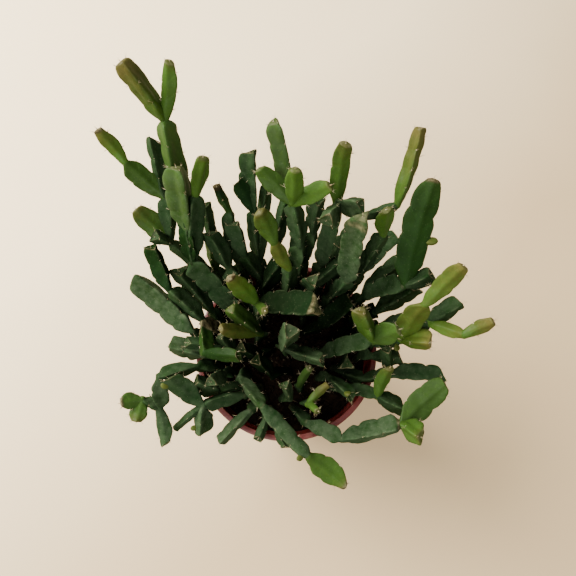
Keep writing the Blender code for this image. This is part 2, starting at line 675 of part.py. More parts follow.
def make_soil(home, roots):
    """The soil that fills the pot: a turned body with a low uneven top and a plain hole for each foot."""
    step = RIM_HEIGHT - COLLAR_HEIGHT
    top = [(0, SOIL_TOP)] + [(radius, SOIL_TOP) for radius in SOIL_RINGS] + [(SOIL_EDGE, SOIL_TOP)]
    floor = WALL + GAP
    side = [(wall_radius(step) - 2 * GAP, step - 3 * GAP), (wall_radius(WALL) - EDGE - GAP, floor)]
    soil = turned("soil", top + side + [(0, floor)], SOIL_STEPS, home)
    for vertex in soil.data.vertices:
        if vertex.co.z > (SOIL_TOP - GAP) * MM and vertex.co.to_2d().length < (SOIL_EDGE - GAP) * MM:
            vertex.co.z += soil_relief(vertex.co.x / MM, vertex.co.y / MM) * MM
    bottom = SOIL_TOP - FOOT_DEPTH - GAP
    cutters = [upright_cylinder(x, y, bottom, SOIL_TOP + FOOT_RISE, FOOT_HOLE_RADIUS, FOOT_HOLE_SIDES)
               for x, y in roots]
    combine(soil, cutters, "DIFFERENCE", "foot_holes")
    soil.data.materials.clear()
    soil.data.materials.append(material("dark_soil", (0.030, 0.020, 0.014), 0.95))
    return soil


def main():
    """Clear the scene, then build the pot, the soil and the stems under one empty."""
    for thing in list(bpy.data.objects):
        bpy.data.objects.remove(thing)
    home = bpy.data.collections.new("potted_rhipsalis")
    bpy.context.scene.collection.children.link(home)
    skeleton = Skeleton(STEMS)
    Parting(skeleton).run()
    frames = skeleton.frames()
    green = material("waxy_green", (0.11, 0.20, 0.07), 0.42)
    parts = [make_pot(home), make_soil(home, [root for root, _ in STEMS.values()])]
    parts += [make_stem(skeleton, frames, stem, home, green) for stem in STEMS]
    holder = bpy.data.objects.new("potted_rhipsalis_origin", None)
    home.objects.link(holder)
    for part in parts:
        part.parent = holder


main()
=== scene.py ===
"""A rhipsalis in its nursery pot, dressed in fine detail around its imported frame.

Each rooted stem of the frame is replaced by a finer one on the same joints: rounded wings with notched
margins, narrow corky necks, woolly areoles with bristles, and buds. The pot and the soil get finer pieces
too. Tables and sizes are in millimetres, and meshes are made in metres. +Z is up, the origin is the middle
of the pot's underside, and -Y is the side over which the long front stem trails.
"""
import logging
import math
import random
from dataclasses import dataclass, field, replace
from enum import Enum
from typing import Any, Sequence

import bmesh
import bpy
import numpy as np
from mathutils import Matrix, Vector, noise


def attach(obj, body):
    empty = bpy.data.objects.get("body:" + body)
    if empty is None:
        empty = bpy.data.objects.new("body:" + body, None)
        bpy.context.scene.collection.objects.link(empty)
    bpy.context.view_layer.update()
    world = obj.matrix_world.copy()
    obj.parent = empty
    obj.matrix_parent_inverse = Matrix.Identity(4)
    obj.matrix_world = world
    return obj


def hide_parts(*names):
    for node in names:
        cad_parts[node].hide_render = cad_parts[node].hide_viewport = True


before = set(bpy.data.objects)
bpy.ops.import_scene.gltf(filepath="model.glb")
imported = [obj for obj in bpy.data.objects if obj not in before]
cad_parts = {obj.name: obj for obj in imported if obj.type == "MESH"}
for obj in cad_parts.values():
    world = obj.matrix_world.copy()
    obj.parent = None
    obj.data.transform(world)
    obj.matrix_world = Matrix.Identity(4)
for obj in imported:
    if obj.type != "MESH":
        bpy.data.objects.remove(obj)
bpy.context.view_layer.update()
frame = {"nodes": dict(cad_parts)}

LOG = logging.getLogger("potted_rhipsalis")
Array = np.ndarray
Triple = tuple[float, float, float]
MM = 0.001
SEED = 11

# Pot, soil and the feet of the stems, in mm
RIM_RADIUS = 52.5
RIM_HEIGHT = 90.0
LIP_WIDTH = 2.8
SOIL_TOP = 79.0
SOIL_EDGE = 46.9
FOOT_RADIUS = 1.8
FOOT_DEPTH = 12.0
FOOT_RISE = 4.0
FOOT_STRAIGHT = 1.5

# The broad side of a flat segment turns to where the light comes from, and one that points at the light is
# levelled with FORWARD instead
LIGHT = np.array([0.0, -0.36, 0.93])
FORWARD = np.array([0.0, 1.0, 0.0])
FACING_LIGHT = 0.15
SAG = 0.05

# Balls that stand for a segment while the stems are parted: stations along it, and balls at each of them
STATIONS = 8
BALLS = 7
ALONG = (np.arange(STATIONS) + 0.5) / STATIONS
TAPER = np.clip(np.minimum(ALONG, 1 - ALONG) * 5, 0.35, 1.0)

# Form of the segments, in mm where they are lengths. A pair in braces is for two wings and for three.
NECK = 1.9
BLADE_THICKNESS = 3.8
BLADE_EDGE = 0.50
MIDRIB = 1.5
HOLLOW = 0.42
EDGE_ROUND = 0.07
SCALLOP_LENGTH = 9.5
FEWEST_SCALLOPS = 2
MOST_SCALLOPS = 4
CREST = 0.62
NOTCH = 0.2
OTHER_NOTCH = 0.15
RIPPLE = 0.90
CALM = 0.58
RISE_POWER = 3.6
FALL_POWER = 2.6
WING_POWER = 1.75
WIDEST = 0.6
NARROW_BASE = 0.22
NARROW_END = {2: 0.30, 3: 0.12}
BASE_SHARE = {2: 0.50, 3: 0.34}
BASE_MOST = {2: 11.0, 3: 8.0}
BASE_POWER = 1.35
NECK_REACH = {2: 4.0, 3: 3.4}
NECK_POWER = 1.4
NECK_SLIM = 0.93
NECK_SCAR = 0.6
FOOT_SHARE = 0.55
FOOT_END = 0.78
SINK = 2.2
TWIST = 15.0
LOPSIDED = 0.10
TILT_WAVES = 0.8
TILT_START = 3
BOW = 0.030
SLANT_REACH = 6.0
MITRE_BASE = 0.04
MITRE_RISE = 0.14
FACE_RIM = 0.92
CORNER = 0.8
AREOLE_SINK = 0.12
BUD_SINK = 1.3

# How corky a neck is when new, and how much more with age. How much younger a segment looks along its
# length, old and new, and over what share of a rooted segment the bark of its foot ends
NEW_SCAR = 0.05
SCAR_BY_AGE = 0.40
AGE_SLOPE = 0.10
NEW_AGE_SLOPE = 0.22
BARK_FADE = 2.6

# Points of a ring, and rows along each scallop and near both ends (mm)
POINTS = 36
WING_OFFSETS = (0, 3, 8, 16, 28, 42, 60, 78, 92, 104, 112, 117)
SCALLOP_STEPS = np.array([0.0, 0.04, 0.10, 0.19, 0.30, 0.42, 0.54, 0.65, 0.75, 0.85, 0.93, 0.975])
END_STEPS = np.array([0.25, 0.55, 0.95, 1.4, 2.0, 2.8])
CLOSEST_ROWS = 0.22

# Where the plant shades itself, in mm, for the shade that is painted into its colours: (from, to) in
# height, and (inner, outer) radius round a middle
SHADE_HEIGHTS = (84.0, 150.0)
SHADE_RADII = (26.0, 54.0)
SHADE_MIDDLE = (8.0, 9.0)

# What the points of the stems carry, and how much older a segment looks for each step that it is lighter
# inner, the last of them, is how deep a point lies in the plant's own shade, which is painted into the
# colour
LAYERS = ("age", "out", "scar", "bloom", "shift", "beat", "inner")
AGE_SHIFT = 0.05

# Every stem: the letters of its segments' tones, all old where there are none, and the place of its foot in
# the soil. Each run then starts at a numbered joint, and each of its segments is (x, y, z of its far joint,
# width, wings, turn in degrees), with three wings and no turn where they aren't given. Joint 0 is the root,
# and joints are numbered in the order in which they stand here. The letters are in the order after SPLITS.
STEMS = {
    "tall_left": ("wooykpkmby", (-27, 18), (0, (-31, 16, 104, 8), (-49, 37, 134, 13, 3, 30),
        (-42, 59, 160, 11), (-37, 62, 182, 10, 2, 60)), (2, (-49, 64, 174, 11, 3, 30)),
        (2, (-55, 84, 184, 12), (-66, 92, 208, 11)), (6, (-47, 92, 206, 8, 2))),
    "left_fork": ("oooofuyo", (-28, 11), (0, (-45, 30, 112, 8), (-63, 46, 132, 9), (-61, 62, 150, 9, 3, 30),
        (-65, 82, 170, 8)), (3, (-77, 71, 166, 12, 2), (-86, 78, 180, 8, 2)), (2, (-78, 55, 148, 10, 2)),
        (2, (-66, 38, 150, 8))),
    "left_cork": ("wokdd", (-36, 7), (0, (-52, 12, 104, 8), (-63, 28, 120, 10), (-68, 43, 139, 10, 3, 30)),
        (1, (-42, -13, 114, 9), (-29, -15, 126, 10, 2))),
    "left_broad": ("og", (-42, 1), (0, (-54, 7, 105, 7), (-80, 34, 121, 14, 3, 30))),
    "left_knob": ("", (-37, 15), (0, (-46, 16, 98, 8), (-56, 31, 124, 11))),
    "left_star": ("og", (-38, -5), (0, (-52, -4, 96, 8), (-66, -1, 105, 10))),
    "left_stub": ("", (-32, 0), (0, (-46, -4, 93, 7), (-55, 8, 108, 8))),
    "low_left": ("ooggfyg", (-36, -12), (0, (-53, -5, 97, 8), (-63, -20, 106, 9), (-66, -36, 104, 10, 3, 30),
        (-75, -33, 106, 7), (-85, -35, 110, 10, 2)), (4, (-79, -45, 104, 10, 2)), (3, (-65, -54, 98, 9, 2))),
    "low_mid": ("oogoo", (-15, -22), (0, (-25, -25, 96, 8), (-46, -32, 100, 9, 3, 30), (-45, -47, 95, 10)),
        (2, (-62, -22, 114, 12, 2)), (2, (-60, -46, 91, 5))),
    "low_star": ("og", (-30, -14), (0, (-44, -13, 94, 7), (-39, -24, 115, 8))),
    "front_left": ("og", (-12, -28), (0, (-20, -38, 93, 7), (-33, -54, 95, 8))),
    "front_stub": ("", (-9, -34), (0, (-14, -41, 92, 6), (-15, -54, 94, 6))),
    "front_long": ("oggy", (-22, -14), (0, (-28, -26, 102, 8), (-12, -37, 116, 9), (11, -59, 112, 12, 3, 30),
        (31, -72, 98, 13, 2))),
    "trail": ("oggym", (3, -33), (0, (11, -42, 95, 7), (29, -50, 99, 9, 3, 30), (59, -43, 106, 12),
        (64, -52, 116, 12)), (3, (82, -26, 114, 14, 2))),
    "right_low": ("", (27, -11), (0, (42, -17, 98, 8), (56, -18, 106, 8), (83, -20, 110, 10, 3, 30)),
        (2, (52, -8, 124, 7))),
    "right_tuft": ("oooy", (23, -22), (0, (32, -23, 96, 8), (49, -27, 102, 8, 3, 30), (61, -36, 100, 10)),
        (2, (52, -19, 122, 8, 2))),
    "right_tip": ("", (18, -17), (0, (26, -20, 98, 7), (33, -32, 114, 8))),
    "right_grey": ("", (35, -5), (0, (33, -19, 118, 9))),
    "front_knob": ("oyn", (15, -31), (0, (12, -35, 104, 10), (16, -39, 112, 4, 2)),
        (1, (21, -26, 111, 5, 2))),
    "centre_tip": ("om", (8, -24), (0, (7, -24, 100, 6), (12, -18, 114, 5, 2))),
    "centre_white": ("og", (-3, -29), (0, (2, -31, 98, 6), (-1, -26, 112, 7))),
    "right_arm": ("oofy", (11, -1), (0, (19, -10, 106, 8), (43, -7, 128, 10, 3, 30), (53, -5, 140, 12, 2)),
        (2, (35, 3, 144, 10))),
    "right_green": ("oouuu", (35, 4), (0, (48, -3, 100, 8), (59, -6, 122, 9, 3, 30), (66, 5, 148, 11, 2),
        (75, 14, 170, 9, 2)), (2, (70, -7, 134, 11))),
    "right_bow": ("oouno", (38, 11), (0, (55, 10, 106, 8), (70, 0, 132, 9), (82, -7, 144, 8, 2),
        (93, -4, 154, 7, 2)), (2, (84, 9, 138, 10))),
    "paddle": ("oodoo", (30, 20), (0, (48, 20, 112, 9), (60, 16, 142, 11, 3, 30), (63, 52, 178, 16, 2)),
        (2, (70, 20, 150, 10)), (1, (59, 36, 134, 10))),
    "right_rough": ("so", (37, 19), (0, (58, 13, 100, 8), (58, 24, 126, 10))),
    "far_right": ("ooob", (24, 32), (0, (30, 30, 118, 8), (36, 45, 158, 9, 3, 30), (50, 46, 168, 6),
        (57, 68, 192, 7))),
    "far_right_bright": ("ooyo", (31, 28), (0, (45, 28, 116, 8), (47, 39, 150, 9), (45, 43, 168, 9, 2)),
        (1, (60, 45, 132, 11, 3, 30))),
    "near_olive": ("oog", (22, 18), (0, (26, 18, 112, 8), (30, 21, 140, 9), (32, 30, 182, 10, 3, 30))),
    "top_right": ("ooygg", (16, 28), (0, (21, 34, 124, 9), (24, 47, 166, 9, 3, 30), (23, 57, 196, 9, 2)),
        (2, (34, 42, 178, 9)), (2, (17, 31, 180, 9))),
    "crown": ("oooyyf", (6, 26), (0, (3, 28, 108, 8), (6, 41, 142, 9, 3, 30), (3, 49, 166, 11),
        (4, 52, 188, 9, 2)), (3, (19, 49, 182, 10, 2)), (3, (-12, 59, 178, 10, 2))),
    "crown_back": ("oop", (-2, 39), (0, (-2, 44, 120, 8), (-1, 58, 158, 9), (-6, 75, 190, 9, 3, 30))),
    "mid_leaf": ("oouy", (-7, 24), (0, (-1, 27, 114, 8), (-1, 30, 142, 9), (-6, 32, 160, 8, 2),
        (-12, 39, 176, 10, 2))),
    "back_grey": ("oooko", (-12, 39), (0, (-16, 46, 108, 8), (-18, 62, 136, 8), (-20, 82, 160, 9, 3, 30)),
        (2, (-27, 72, 152, 7, 2)), (1, (-9, 72, 144, 7))),
    "back_left": ("oom", (-21, 35), (0, (-31, 42, 112, 8), (-30, 61, 136, 9, 3, 30), (-37, 70, 148, 6))),
    "back_left_thin": ("oom", (-25, 29), (0, (-41, 37, 112, 8), (-43, 63, 140, 7)), (1, (-39, 42, 132, 10))),
    "mid_big": ("osuy", (-15, 10), (0, (-15, 14, 122, 9), (17, 9, 140, 14, 3, 30)),
        (1, (-27, 20, 144, 11, 2)), (1, (-10, 4, 142, 6, 2))),
    "mid_low": ("oum", (-18, 4), (0, (-15, 0, 110, 8), (-33, -2, 132, 8, 2)), (1, (-27, 8, 134, 10))),
    "mid_spot": ("ogg", (0, -2), (0, (-2, -6, 112, 8), (2, -4, 136, 11)), (1, (18, -16, 124, 8))),
    "mid_dark": ("ss", (-13, 22), (0, (-18, 26, 110, 8), (1, 29, 132, 11))),
    "mid_arm": ("ooo", (10, 17), (0, (8, 28, 116, 8), (31, 34, 140, 8)), (1, (11, 17, 142, 9, 3, 30))),
    "left_dark": ("", (-19, 19), (0, (-24, 26, 104, 8), (-37, 37, 122, 11, 3, 30), (-45, 49, 138, 11))),
    "back_dark": ("", (-8, 31), (0, (-14, 35, 105, 8), (-25, 43, 122, 11), (-30, 53, 138, 10, 3, 30))),
    "back_mid": ("", (9, 37), (0, (10, 45, 110, 8), (14, 49, 134, 10, 3, 30), (16, 60, 150, 10))),
    "back_right": ("", (20, 37), (0, (30, 45, 110, 8), (36, 52, 134, 11))),
    "mid_right": ("ss", (8, 10), (0, (17, 13, 104, 8), (35, 18, 122, 11, 3, 30))),
    "inner_right": ("ss", (26, 6), (0, (37, 8, 104, 8), (30, 17, 124, 10))),
    "inner_left": ("ss", (-5, 5), (0, (-14, -5, 100, 7), (-24, -6, 116, 9))),
    "low_inner": ("so", (-19, -6), (0, (-27, -12, 98, 7), (-39, -3, 112, 9))),
    "low_dark": ("", (-22, -21), (0, (-34, -24, 97, 7), (-47, -18, 108, 10, 3, 30))),
    "middle": ("ss", (2, -13), (0, (-8, -18, 98, 7), (-16, -13, 112, 9))),
    "right_inner": ("", (41, -6), (0, (50, -11, 99, 7), (61, -8, 110, 9))),
    "back_core": ("", (1, 32), (0, (1, 38, 116, 8), (7, 46, 134, 10))),
    "front_short": ("", (-3, -39), (0, (-5, -47, 95, 6), (0, -58, 95, 7))),
}

# Joints that lean a little from the frame's: (x, y) in mm
LEANS = {
    "tall_left": {6: (-0.8, -0.4), 7: (-2.3, -1.8), 8: (-1.3, 0.0)}, "left_fork": {7: (1.5, 1.5)},
    "left_broad": {2: (0.4, 0.6)}, "low_left": {1: (0.0, 1.2), 5: (0.8, 0.0), 6: (1.8, 2.0), 7: (2.5, 0.8)},
    "low_mid": {2: (0.0, 0.4), 3: (0.0, 1.0), 4: (0.4, 1.4)}, "front_left": {2: (-2.0, 0.4)},
    "front_stub": {2: (0.0, 2.0)}, "front_short": {2: (0.0, 2.4)},
    "front_long": {3: (-0.8, -0.8), 4: (-1.8, -1.8)},
    "trail": {1: (0.0, -1.2), 2: (0.0, -2.0), 3: (0.0, -1.5), 4: (1.0, 0.6), 5: (-1.4, 0.4)},
    "right_low": {3: (0.0, -1.4)}, "right_bow": {3: (0.0, -1.5), 4: (-1.5, -1.2)},
    "right_green": {3: (-1.6, 0.4)}, "paddle": {3: (1.8, -0.5)},
    "top_right": {3: (1.3, -0.5), 4: (-1.2, -2.4)}, "left_knob": {2: (-2.0, 1.0)},
    "crown_back": {1: (1.2, 0.0), 2: (2.6, 0.0), 3: (0.6, -0.8)}, "crown": {4: (0.0, -0.8), 5: (0.0, -2.0)},
    "far_right": {3: (1.0, -0.6)}, "back_left": {3: (1.3, -0.6)}, "left_star": {2: (-2.4, 0.5)},
    "back_grey": {2: (0.5, 0.0), 3: (1.6, 0.0), 4: (2.0, -2.2), 5: (-1.8, 0.0)},
    "near_olive": {3: (0.0, 1.8)},
}

# Segments that have one more joint than the frame's: (stem, segment, place along it)
SPLITS = (("tall_left", 4, 0.34), ("tall_left", 6, 0.36))

# Buds too small for the frame: (stem, segment, place along it, direction, length in mm)
BUDS = (
    ("low_mid", 3, 0.88, (-0.8, 0.1, 0.5), 4.5), ("low_mid", 2, 0.84, (-0.9, -0.3, 0.3), 4.2),
    ("front_long", 2, 0.93, (-0.7, -0.6, 0.4), 4.2), ("right_tip", 1, 0.92, (0.2, -0.4, 0.9), 5.0),
    ("right_green", 1, 0.92, (-0.3, -0.9, 0.3), 4.6), ("paddle", 2, 0.44, (1.0, 0.1, 0.1), 6.0),
)

# Segments that are slimmer or fuller than the frame's
SIZES = {
    ("front_long", 1): 0.78, ("front_long", 2): 0.7, ("tall_left", 5): 1.16, ("left_fork", 6): 1.2,
    ("tall_left", 8): 0.84, ("right_green", 2): 1.25, ("right_green", 3): 1.12, ("back_grey", 1): 1.3,
    ("back_grey", 2): 1.25, ("back_grey", 3): 1.45, ("back_grey", 4): 1.2, ("near_olive", 2): 1.18,
    ("top_right", 1): 1.2, ("top_right", 3): 1.15, ("crown", 1): 1.2, ("far_right", 1): 1.25,
    ("left_knob", 1): 1.18, ("tall_left", 1): 1.15, ("right_rough", 0): 1.25, ("right_rough", 1): 1.25,
    ("low_dark", 1): 1.15, ("low_mid", 2): 1.15, ("left_star", 1): 1.25, ("right_bow", 1): 1.2,
    ("far_right_bright", 2): 1.15, ("trail", 4): 1.12, ("left_cork", 4): 0.86,
}

# Corky patches: from and to along the segment, and how thick
CORK = {("left_cork", 0): (0.35, 1.0, 1.0), ("left_cork", 3): (0.0, 0.30, 0.9),
        ("mid_big", 1): (0.93, 1.0, 0.5), ("trail", 2): (0.92, 1.0, 0.4),
        ("top_right", 1): (0.86, 1.0, 0.6), ("near_olive", 2): (0.86, 1.0, 0.34)}


class Tone(Enum):
    """The age of a segment: its letter, age from 0 to 1, how thick its pale bloom is, and its lightness."""
    NEWEST = ("n", 0.04, 0.05, 0.0)
    YOUNG = ("y", 0.24, 0.10, 0.0)
    MIDDLE = ("m", 0.42, 0.12, 0.0)
    FRESH = ("f", 0.35, 0.08, -0.8)
    PALE = ("p", 0.43, 0.50, 0.0)
    BRONZE = ("b", 0.08, 0.03, -1.3)
    OLIVE = ("u", 0.13, 0.05, 1.1)
    DARK = ("k", 0.72, 0.02, -1.4)
    DEEP = ("d", 0.60, 0.05, -0.6)
    GREY = ("g", 0.70, 0.80, 0.2)
    OLD = ("o", 0.76, 0.42, 0.3)
    # SHADED is painted shade: a darker tone for segments deep in the plant's own shade
    SHADED = ("s", 0.80, 0.05, -2.6)
    WOODY = ("w", 1.00, 0.15, 0.0)

    def __init__(self, letter: str, age: float, bloom: float, lift: float) -> None:
        """Keep the facts of a tone."""
        self.letter, self.age, self.bloom, self.lift = letter, age, bloom, lift

    @property
    def is_tender(self) -> bool:
        """Whether the segment is young enough for a rounded end and plenty of bristles."""
        return self.age < 0.5


TONES = {tone.letter: tone for tone in Tone}


@dataclass(frozen=True)
class Ending:
    """How a run ends: the share of its width that is left, and over how many mm it narrows.

    The face is a row of (share of the last ring, mm above it). Scars of the rim fade over some mm, and the
    burn is how much older or younger than the rest the end looks.
    """
    width: float
    reach: float
    power: float
    bluntness: float
    face: tuple[tuple[float, float], ...]
    rim: float
    middle: float
    fade: float
    slant: float
    burn: float


class Tip(Enum):
    """The kinds of ending."""
    BLUNT = Ending(0.58, 4.6, 1.7, 1.5, ((0.88, 0.35), (0.64, 0.55), (0.3, 0.62), (0.0, 0.64)),
                   0.24, 0.34, 0.35, 0.30, -0.10)
    DOME = Ending(0.24, 8.5, 2.0, 1.7, ((0.8, 0.25), (0.55, 0.4), (0.28, 0.5), (0.0, 0.52)),
                  0.65, 0.9, 1.2, 0.15, -0.08)
    POINT = Ending(0.12, 9.5, 1.45, 1.15, ((0.7, 0.3), (0.35, 0.5), (0.0, 0.55)), 0.8, 0.9, 1.8, 0.1, -0.20)
    CUT = Ending(0.84, 1.2, 2.0, 2.0, ((0.96, 0.08), (0.9, 0.0), (0.74, -0.4), (0.4, -0.7), (0.0, -0.8)),
                 0.45, 0.20, 0.25, 0.42, 0.0)
    DRIED = Ending(0.14, 13.0, 1.2, 1.0, ((0.7, 0.3), (0.35, 0.5), (0.0, 0.55)), 0.3, 0.3, 3.0, 0.2, 0.75)


# Endings that differ from blunt ones on tender segments and cut ones on old segments
TIPS = {("paddle", 2): Tip.DOME, ("left_fork", 5): Tip.DOME, ("back_left", 2): Tip.DRIED,
        ("front_long", 3): Tip.POINT, ("mid_big", 2): Tip.DOME, ("low_left", 4): Tip.DOME,
        ("near_olive", 2): Tip.BLUNT, ("mid_big", 1): Tip.BLUNT}


@dataclass
class Segment:
    """One segment of a stem, between two joints. Its width is from one wing's edge to the next one's."""
    stem: str
    run: int
    near: int
    far: int
    ends_run: bool
    width: float
    wings: int = 3
    turn: float = 0.0

    @property
    def half(self) -> float:
        """How far a wing reaches from the middle line."""
        return self.width / 2 / math.sin(math.pi / self.wings)

    @property
    def ways(self) -> Array:
        """The directions of the wings round the axis."""
        return np.radians((0.0, 180.0) if self.wings == 2 else (90.0, 210.0, 330.0))


def unit(vectors: Array) -> Array:
    """Vectors scaled to length one."""
    return vectors / np.linalg.norm(vectors, axis=-1, keepdims=True)


class Skeleton:
    """The joints of all stems as one array, and the segments between them."""

    def __init__(self) -> None:
        """Number the joints and list the segments of STEMS."""
        joints: list[tuple[float, ...]] = []
        self.roots: dict[str, int] = {}
        self.segments: list[Segment] = []
        for stem, (_, root, *runs) in STEMS.items():
            self.roots[stem] = len(joints)
            joints.append((*root, SOIL_TOP + FOOT_RISE))
            for run, (start, *pieces) in enumerate(runs):
                near = self.roots[stem] + start
                for place, (x, y, z, *form) in enumerate(pieces, 1):
                    far, ends = len(joints), place == len(pieces)
                    joints.append((x, y, z))
                    self.segments.append(Segment(stem, run, near, far, ends, *form))
                    near = far
        self.joints = np.array(joints, dtype=float)
        self.gather()

    def gather(self) -> None:
        """Gather what the segments hold into arrays."""
        self.near, self.far, self.half, turns = (
            np.array([getattr(segment, name) for segment in self.segments])
            for name in ("near", "far", "half", "turn"))
        self.turn = np.radians(turns)[:, None]

    def split(self, stem: str, index: int, place: float) -> None:
        """Divide one segment of a stem in two.

        Args:
            stem: the stem's name.
            index: the segment's number in its stem.
            place: where along it the new joint lies, from 0 to 1.
        """
        number = [n for n, segment in enumerate(self.segments) if segment.stem == stem][index]
        whole, joint = self.segments[number], len(self.joints)
        self.joints = np.vstack([self.joints, self.middles([place])[number][0]])
        self.segments[number:number + 1] = [replace(whole, far=joint, ends_run=False),
                                            replace(whole, near=joint)]
        self.gather()

    def lean(self) -> None:
        """Move the joints of LEANS a little sideways."""
        for stem, moves in LEANS.items():
            for joint, move in moves.items():
                self.joints[self.roots[stem] + joint, :2] += move

    def chords(self) -> Array:
        """The straight line of every segment, from its near joint to its far one."""
        return self.joints[self.far] - self.joints[self.near]

    def frames(self) -> Array:
        """Work out how every segment lies.

        Returns:
            Three arrays of unit vectors: the axes, and the two directions across each of them.
        """
        axis = unit(self.chords())
        side = np.cross(LIGHT, axis)
        level = np.cross(FORWARD, axis)
        side = unit(np.where(np.linalg.norm(side, axis=1, keepdims=True) > FACING_LIGHT, side, level))
        across = np.cross(axis, side)
        c, s = np.cos(self.turn), np.sin(self.turn)
        return np.stack((axis, side * c + across * s, across * c - side * s))

    def middles(self, along: Sequence[float]) -> Array:
        """Points on the middle line of every segment.

        Args:
            along: places from 0, the near joint, to 1, the far one.

        Returns:
            One row of points for each segment, sagging a little between its joints.
        """
        chord = self.chords()
        length = np.linalg.norm(chord, axis=1, keepdims=True)
        axis = chord / length
        upward = LIGHT - (axis @ LIGHT)[:, None] * axis
        places = np.asarray(along)[None, :, None]
        sag = SAG * 4 * places * (1 - places)
        return self.joints[self.near][:, None] + chord[:, None] * places - (upward * length)[:, None] * sag


@dataclass
class Parting:
    """Bends the stems clear of one another, of the pot's lip and of the soil, as in the frame.

    Roots stay where they are, and every segment keeps its length. Lengths are in mm.
    """
    skeleton: Skeleton
    core_ball: float = 2.1
    wing_ball: float = 1.5
    clearance: float = 0.9
    seat_clearance: float = 0.5
    soil_bump: float = 1.0
    lip_margin: float = 3.0
    near_pair: float = 3.0
    steps: int = 200
    relist_steps: int = 8
    ease: float = 0.7
    stiffness: float = 0.5

    def __post_init__(self) -> None:
        """Place the balls that stand for each segment."""
        self.lengths = np.linalg.norm(self.skeleton.chords(), axis=1)
        self.offsets = np.array([self.ball_offsets(segment) for segment in self.skeleton.segments])
        self.radii = np.tile(self.offsets[:, :, 2], (1, STATIONS))
        self.places = np.repeat(ALONG, BALLS)
        self.free = np.ones(len(self.skeleton.joints), dtype=bool)
        self.free[list(self.skeleton.roots.values())] = False

    def ball_offsets(self, segment: Segment) -> list[Triple]:
        """Place the balls of one cross-section.

        Args:
            segment: the segment.

        Returns:
            A row of (x, y, radius) in mm, as long as that of a segment with three wings.
        """
        offsets = [(0.0, 0.0, self.core_ball)]
        for way in segment.ways:
            for reach in (segment.half / 2, max(segment.half - self.wing_ball, self.wing_ball / 2)):
                offsets.append((math.cos(way) * reach, math.sin(way) * reach, self.wing_ball))
        return offsets + [offsets[0]] * (BALLS - len(offsets))

    def balls(self) -> Array:
        """Place all the balls.

        Returns:
            Their centres in mm, a row of them for each segment.
        """
        _, side, across = self.skeleton.frames()
        u, v = self.offsets[:, :, 0, None], self.offsets[:, :, 1, None]
        cross = u * side[:, None] + v * across[:, None]
        line = self.skeleton.middles(ALONG)
        return (line[:, :, None] + cross[:, None] * TAPER[None, :, None, None]).reshape(len(line), -1, 3)

    def depths(self, one: int, two: int) -> tuple[Array, Array, Array]:
        """Measure how deep two segments' balls lie in one another.

        Args:
            one: the first segment's number.
            two: the second segment's number.

        Returns:
            The depth for every pair of balls, and the lines between the two and their lengths.
        """
        between = self.centres[one][:, None] - self.centres[two][None]
        distance = np.sqrt((between ** 2).sum(axis=2))
        depth = self.radii[one][:, None] + self.radii[two][None] + self.clearance - distance
        return depth, between, distance

    def close_pairs(self) -> list[tuple[int, int]]:
        """List the segments that nearly touch and share no joint.

        Returns:
            Pairs of their numbers.
        """
        near, far = self.skeleton.near, self.skeleton.far
        middle = self.centres.mean(axis=1)
        reach = self.lengths / 2 + self.skeleton.half
        apart = np.linalg.norm(middle[:, None] - middle[None], axis=2)
        joined = (near[:, None] == near) | (near[:, None] == far) | (far[:, None] == near)
        could = np.triu(apart < reach[:, None] + reach + self.clearance, 1) & ~joined
        return [(i, j) for i, j in zip(*np.nonzero(could)) if self.depths(i, j)[0].max() > -self.near_pair]

    def push(self, segment: int, place: float, move: Array) -> None:
        """Share a push on a segment between its two joints.

        Args:
            segment: its number.
            place: where along it the push is, from 0 to 1.
            move: the push in mm.
        """
        for joint, part in ((self.skeleton.near[segment], 1 - place), (self.skeleton.far[segment], place)):
            if self.free[joint]:
                self.moves[joint] += move * part
                self.counts[joint] += 1

    def part_pairs(self, pairs: list[tuple[int, int]]) -> None:
        """Push segments apart where they are deepest in one another.

        Args:
            pairs: pairs of their numbers.
        """
        for one, two in pairs:
            depth, between, distance = self.depths(one, two)
            worst = np.unravel_index(depth.argmax(), depth.shape)
            if depth[worst] > 0:
                move = between[worst] / max(distance[worst], MM) * depth[worst] / 2
                for segment, ball, sign in ((one, worst[0], 1), (two, worst[1], -1)):
                    place = self.places[ball]
                    self.push(segment, place, move * sign / ((1 - place) ** 2 + place ** 2))

    def seat(self) -> None:
        """Lift what lies too low over the soil, the pot's lip or the surface below."""
        radius = np.hypot(self.centres[:, :, 0], self.centres[:, :, 1])
        over_pot = radius < RIM_RADIUS + self.lip_margin
        over_lip = over_pot & (radius > RIM_RADIUS - LIP_WIDTH - self.lip_margin)
        ground = np.where(over_lip, RIM_HEIGHT, np.where(over_pot, SOIL_TOP + self.soil_bump, 0.0))
        lift = ground + self.radii + self.seat_clearance - self.centres[:, :, 2]
        for segment, ball in enumerate(lift.argmax(axis=1)):
            if lift[segment, ball] > 0:
                self.push(segment, self.places[ball], np.array([0.0, 0.0, lift[segment, ball]]))

    def keep_lengths(self) -> None:
        """Draw the joints of each segment back to its own length."""
        joints = self.skeleton.joints
        for near, far, length in zip(self.skeleton.near, self.skeleton.far, self.lengths):
            line = joints[far] - joints[near]
            now = np.linalg.norm(line)
            fix = line / now * (now - length) * self.stiffness
            if self.free[near]:
                joints[near] += fix / 2
                fix = fix / 2
            joints[far] -= fix

    def run(self) -> None:
        """Part the stems in many small steps."""
        pairs: list[tuple[int, int]] = []
        for step in range(self.steps):
            self.centres = self.balls()
            if step % self.relist_steps == 0:
                pairs = self.close_pairs()
            self.moves = np.zeros_like(self.skeleton.joints)
            self.counts = np.zeros(len(self.moves))
            self.part_pairs(pairs)
            self.seat()
            self.skeleton.joints += self.ease * self.moves / np.sqrt(np.maximum(self.counts, 1))[:, None]
            self.keep_lengths()


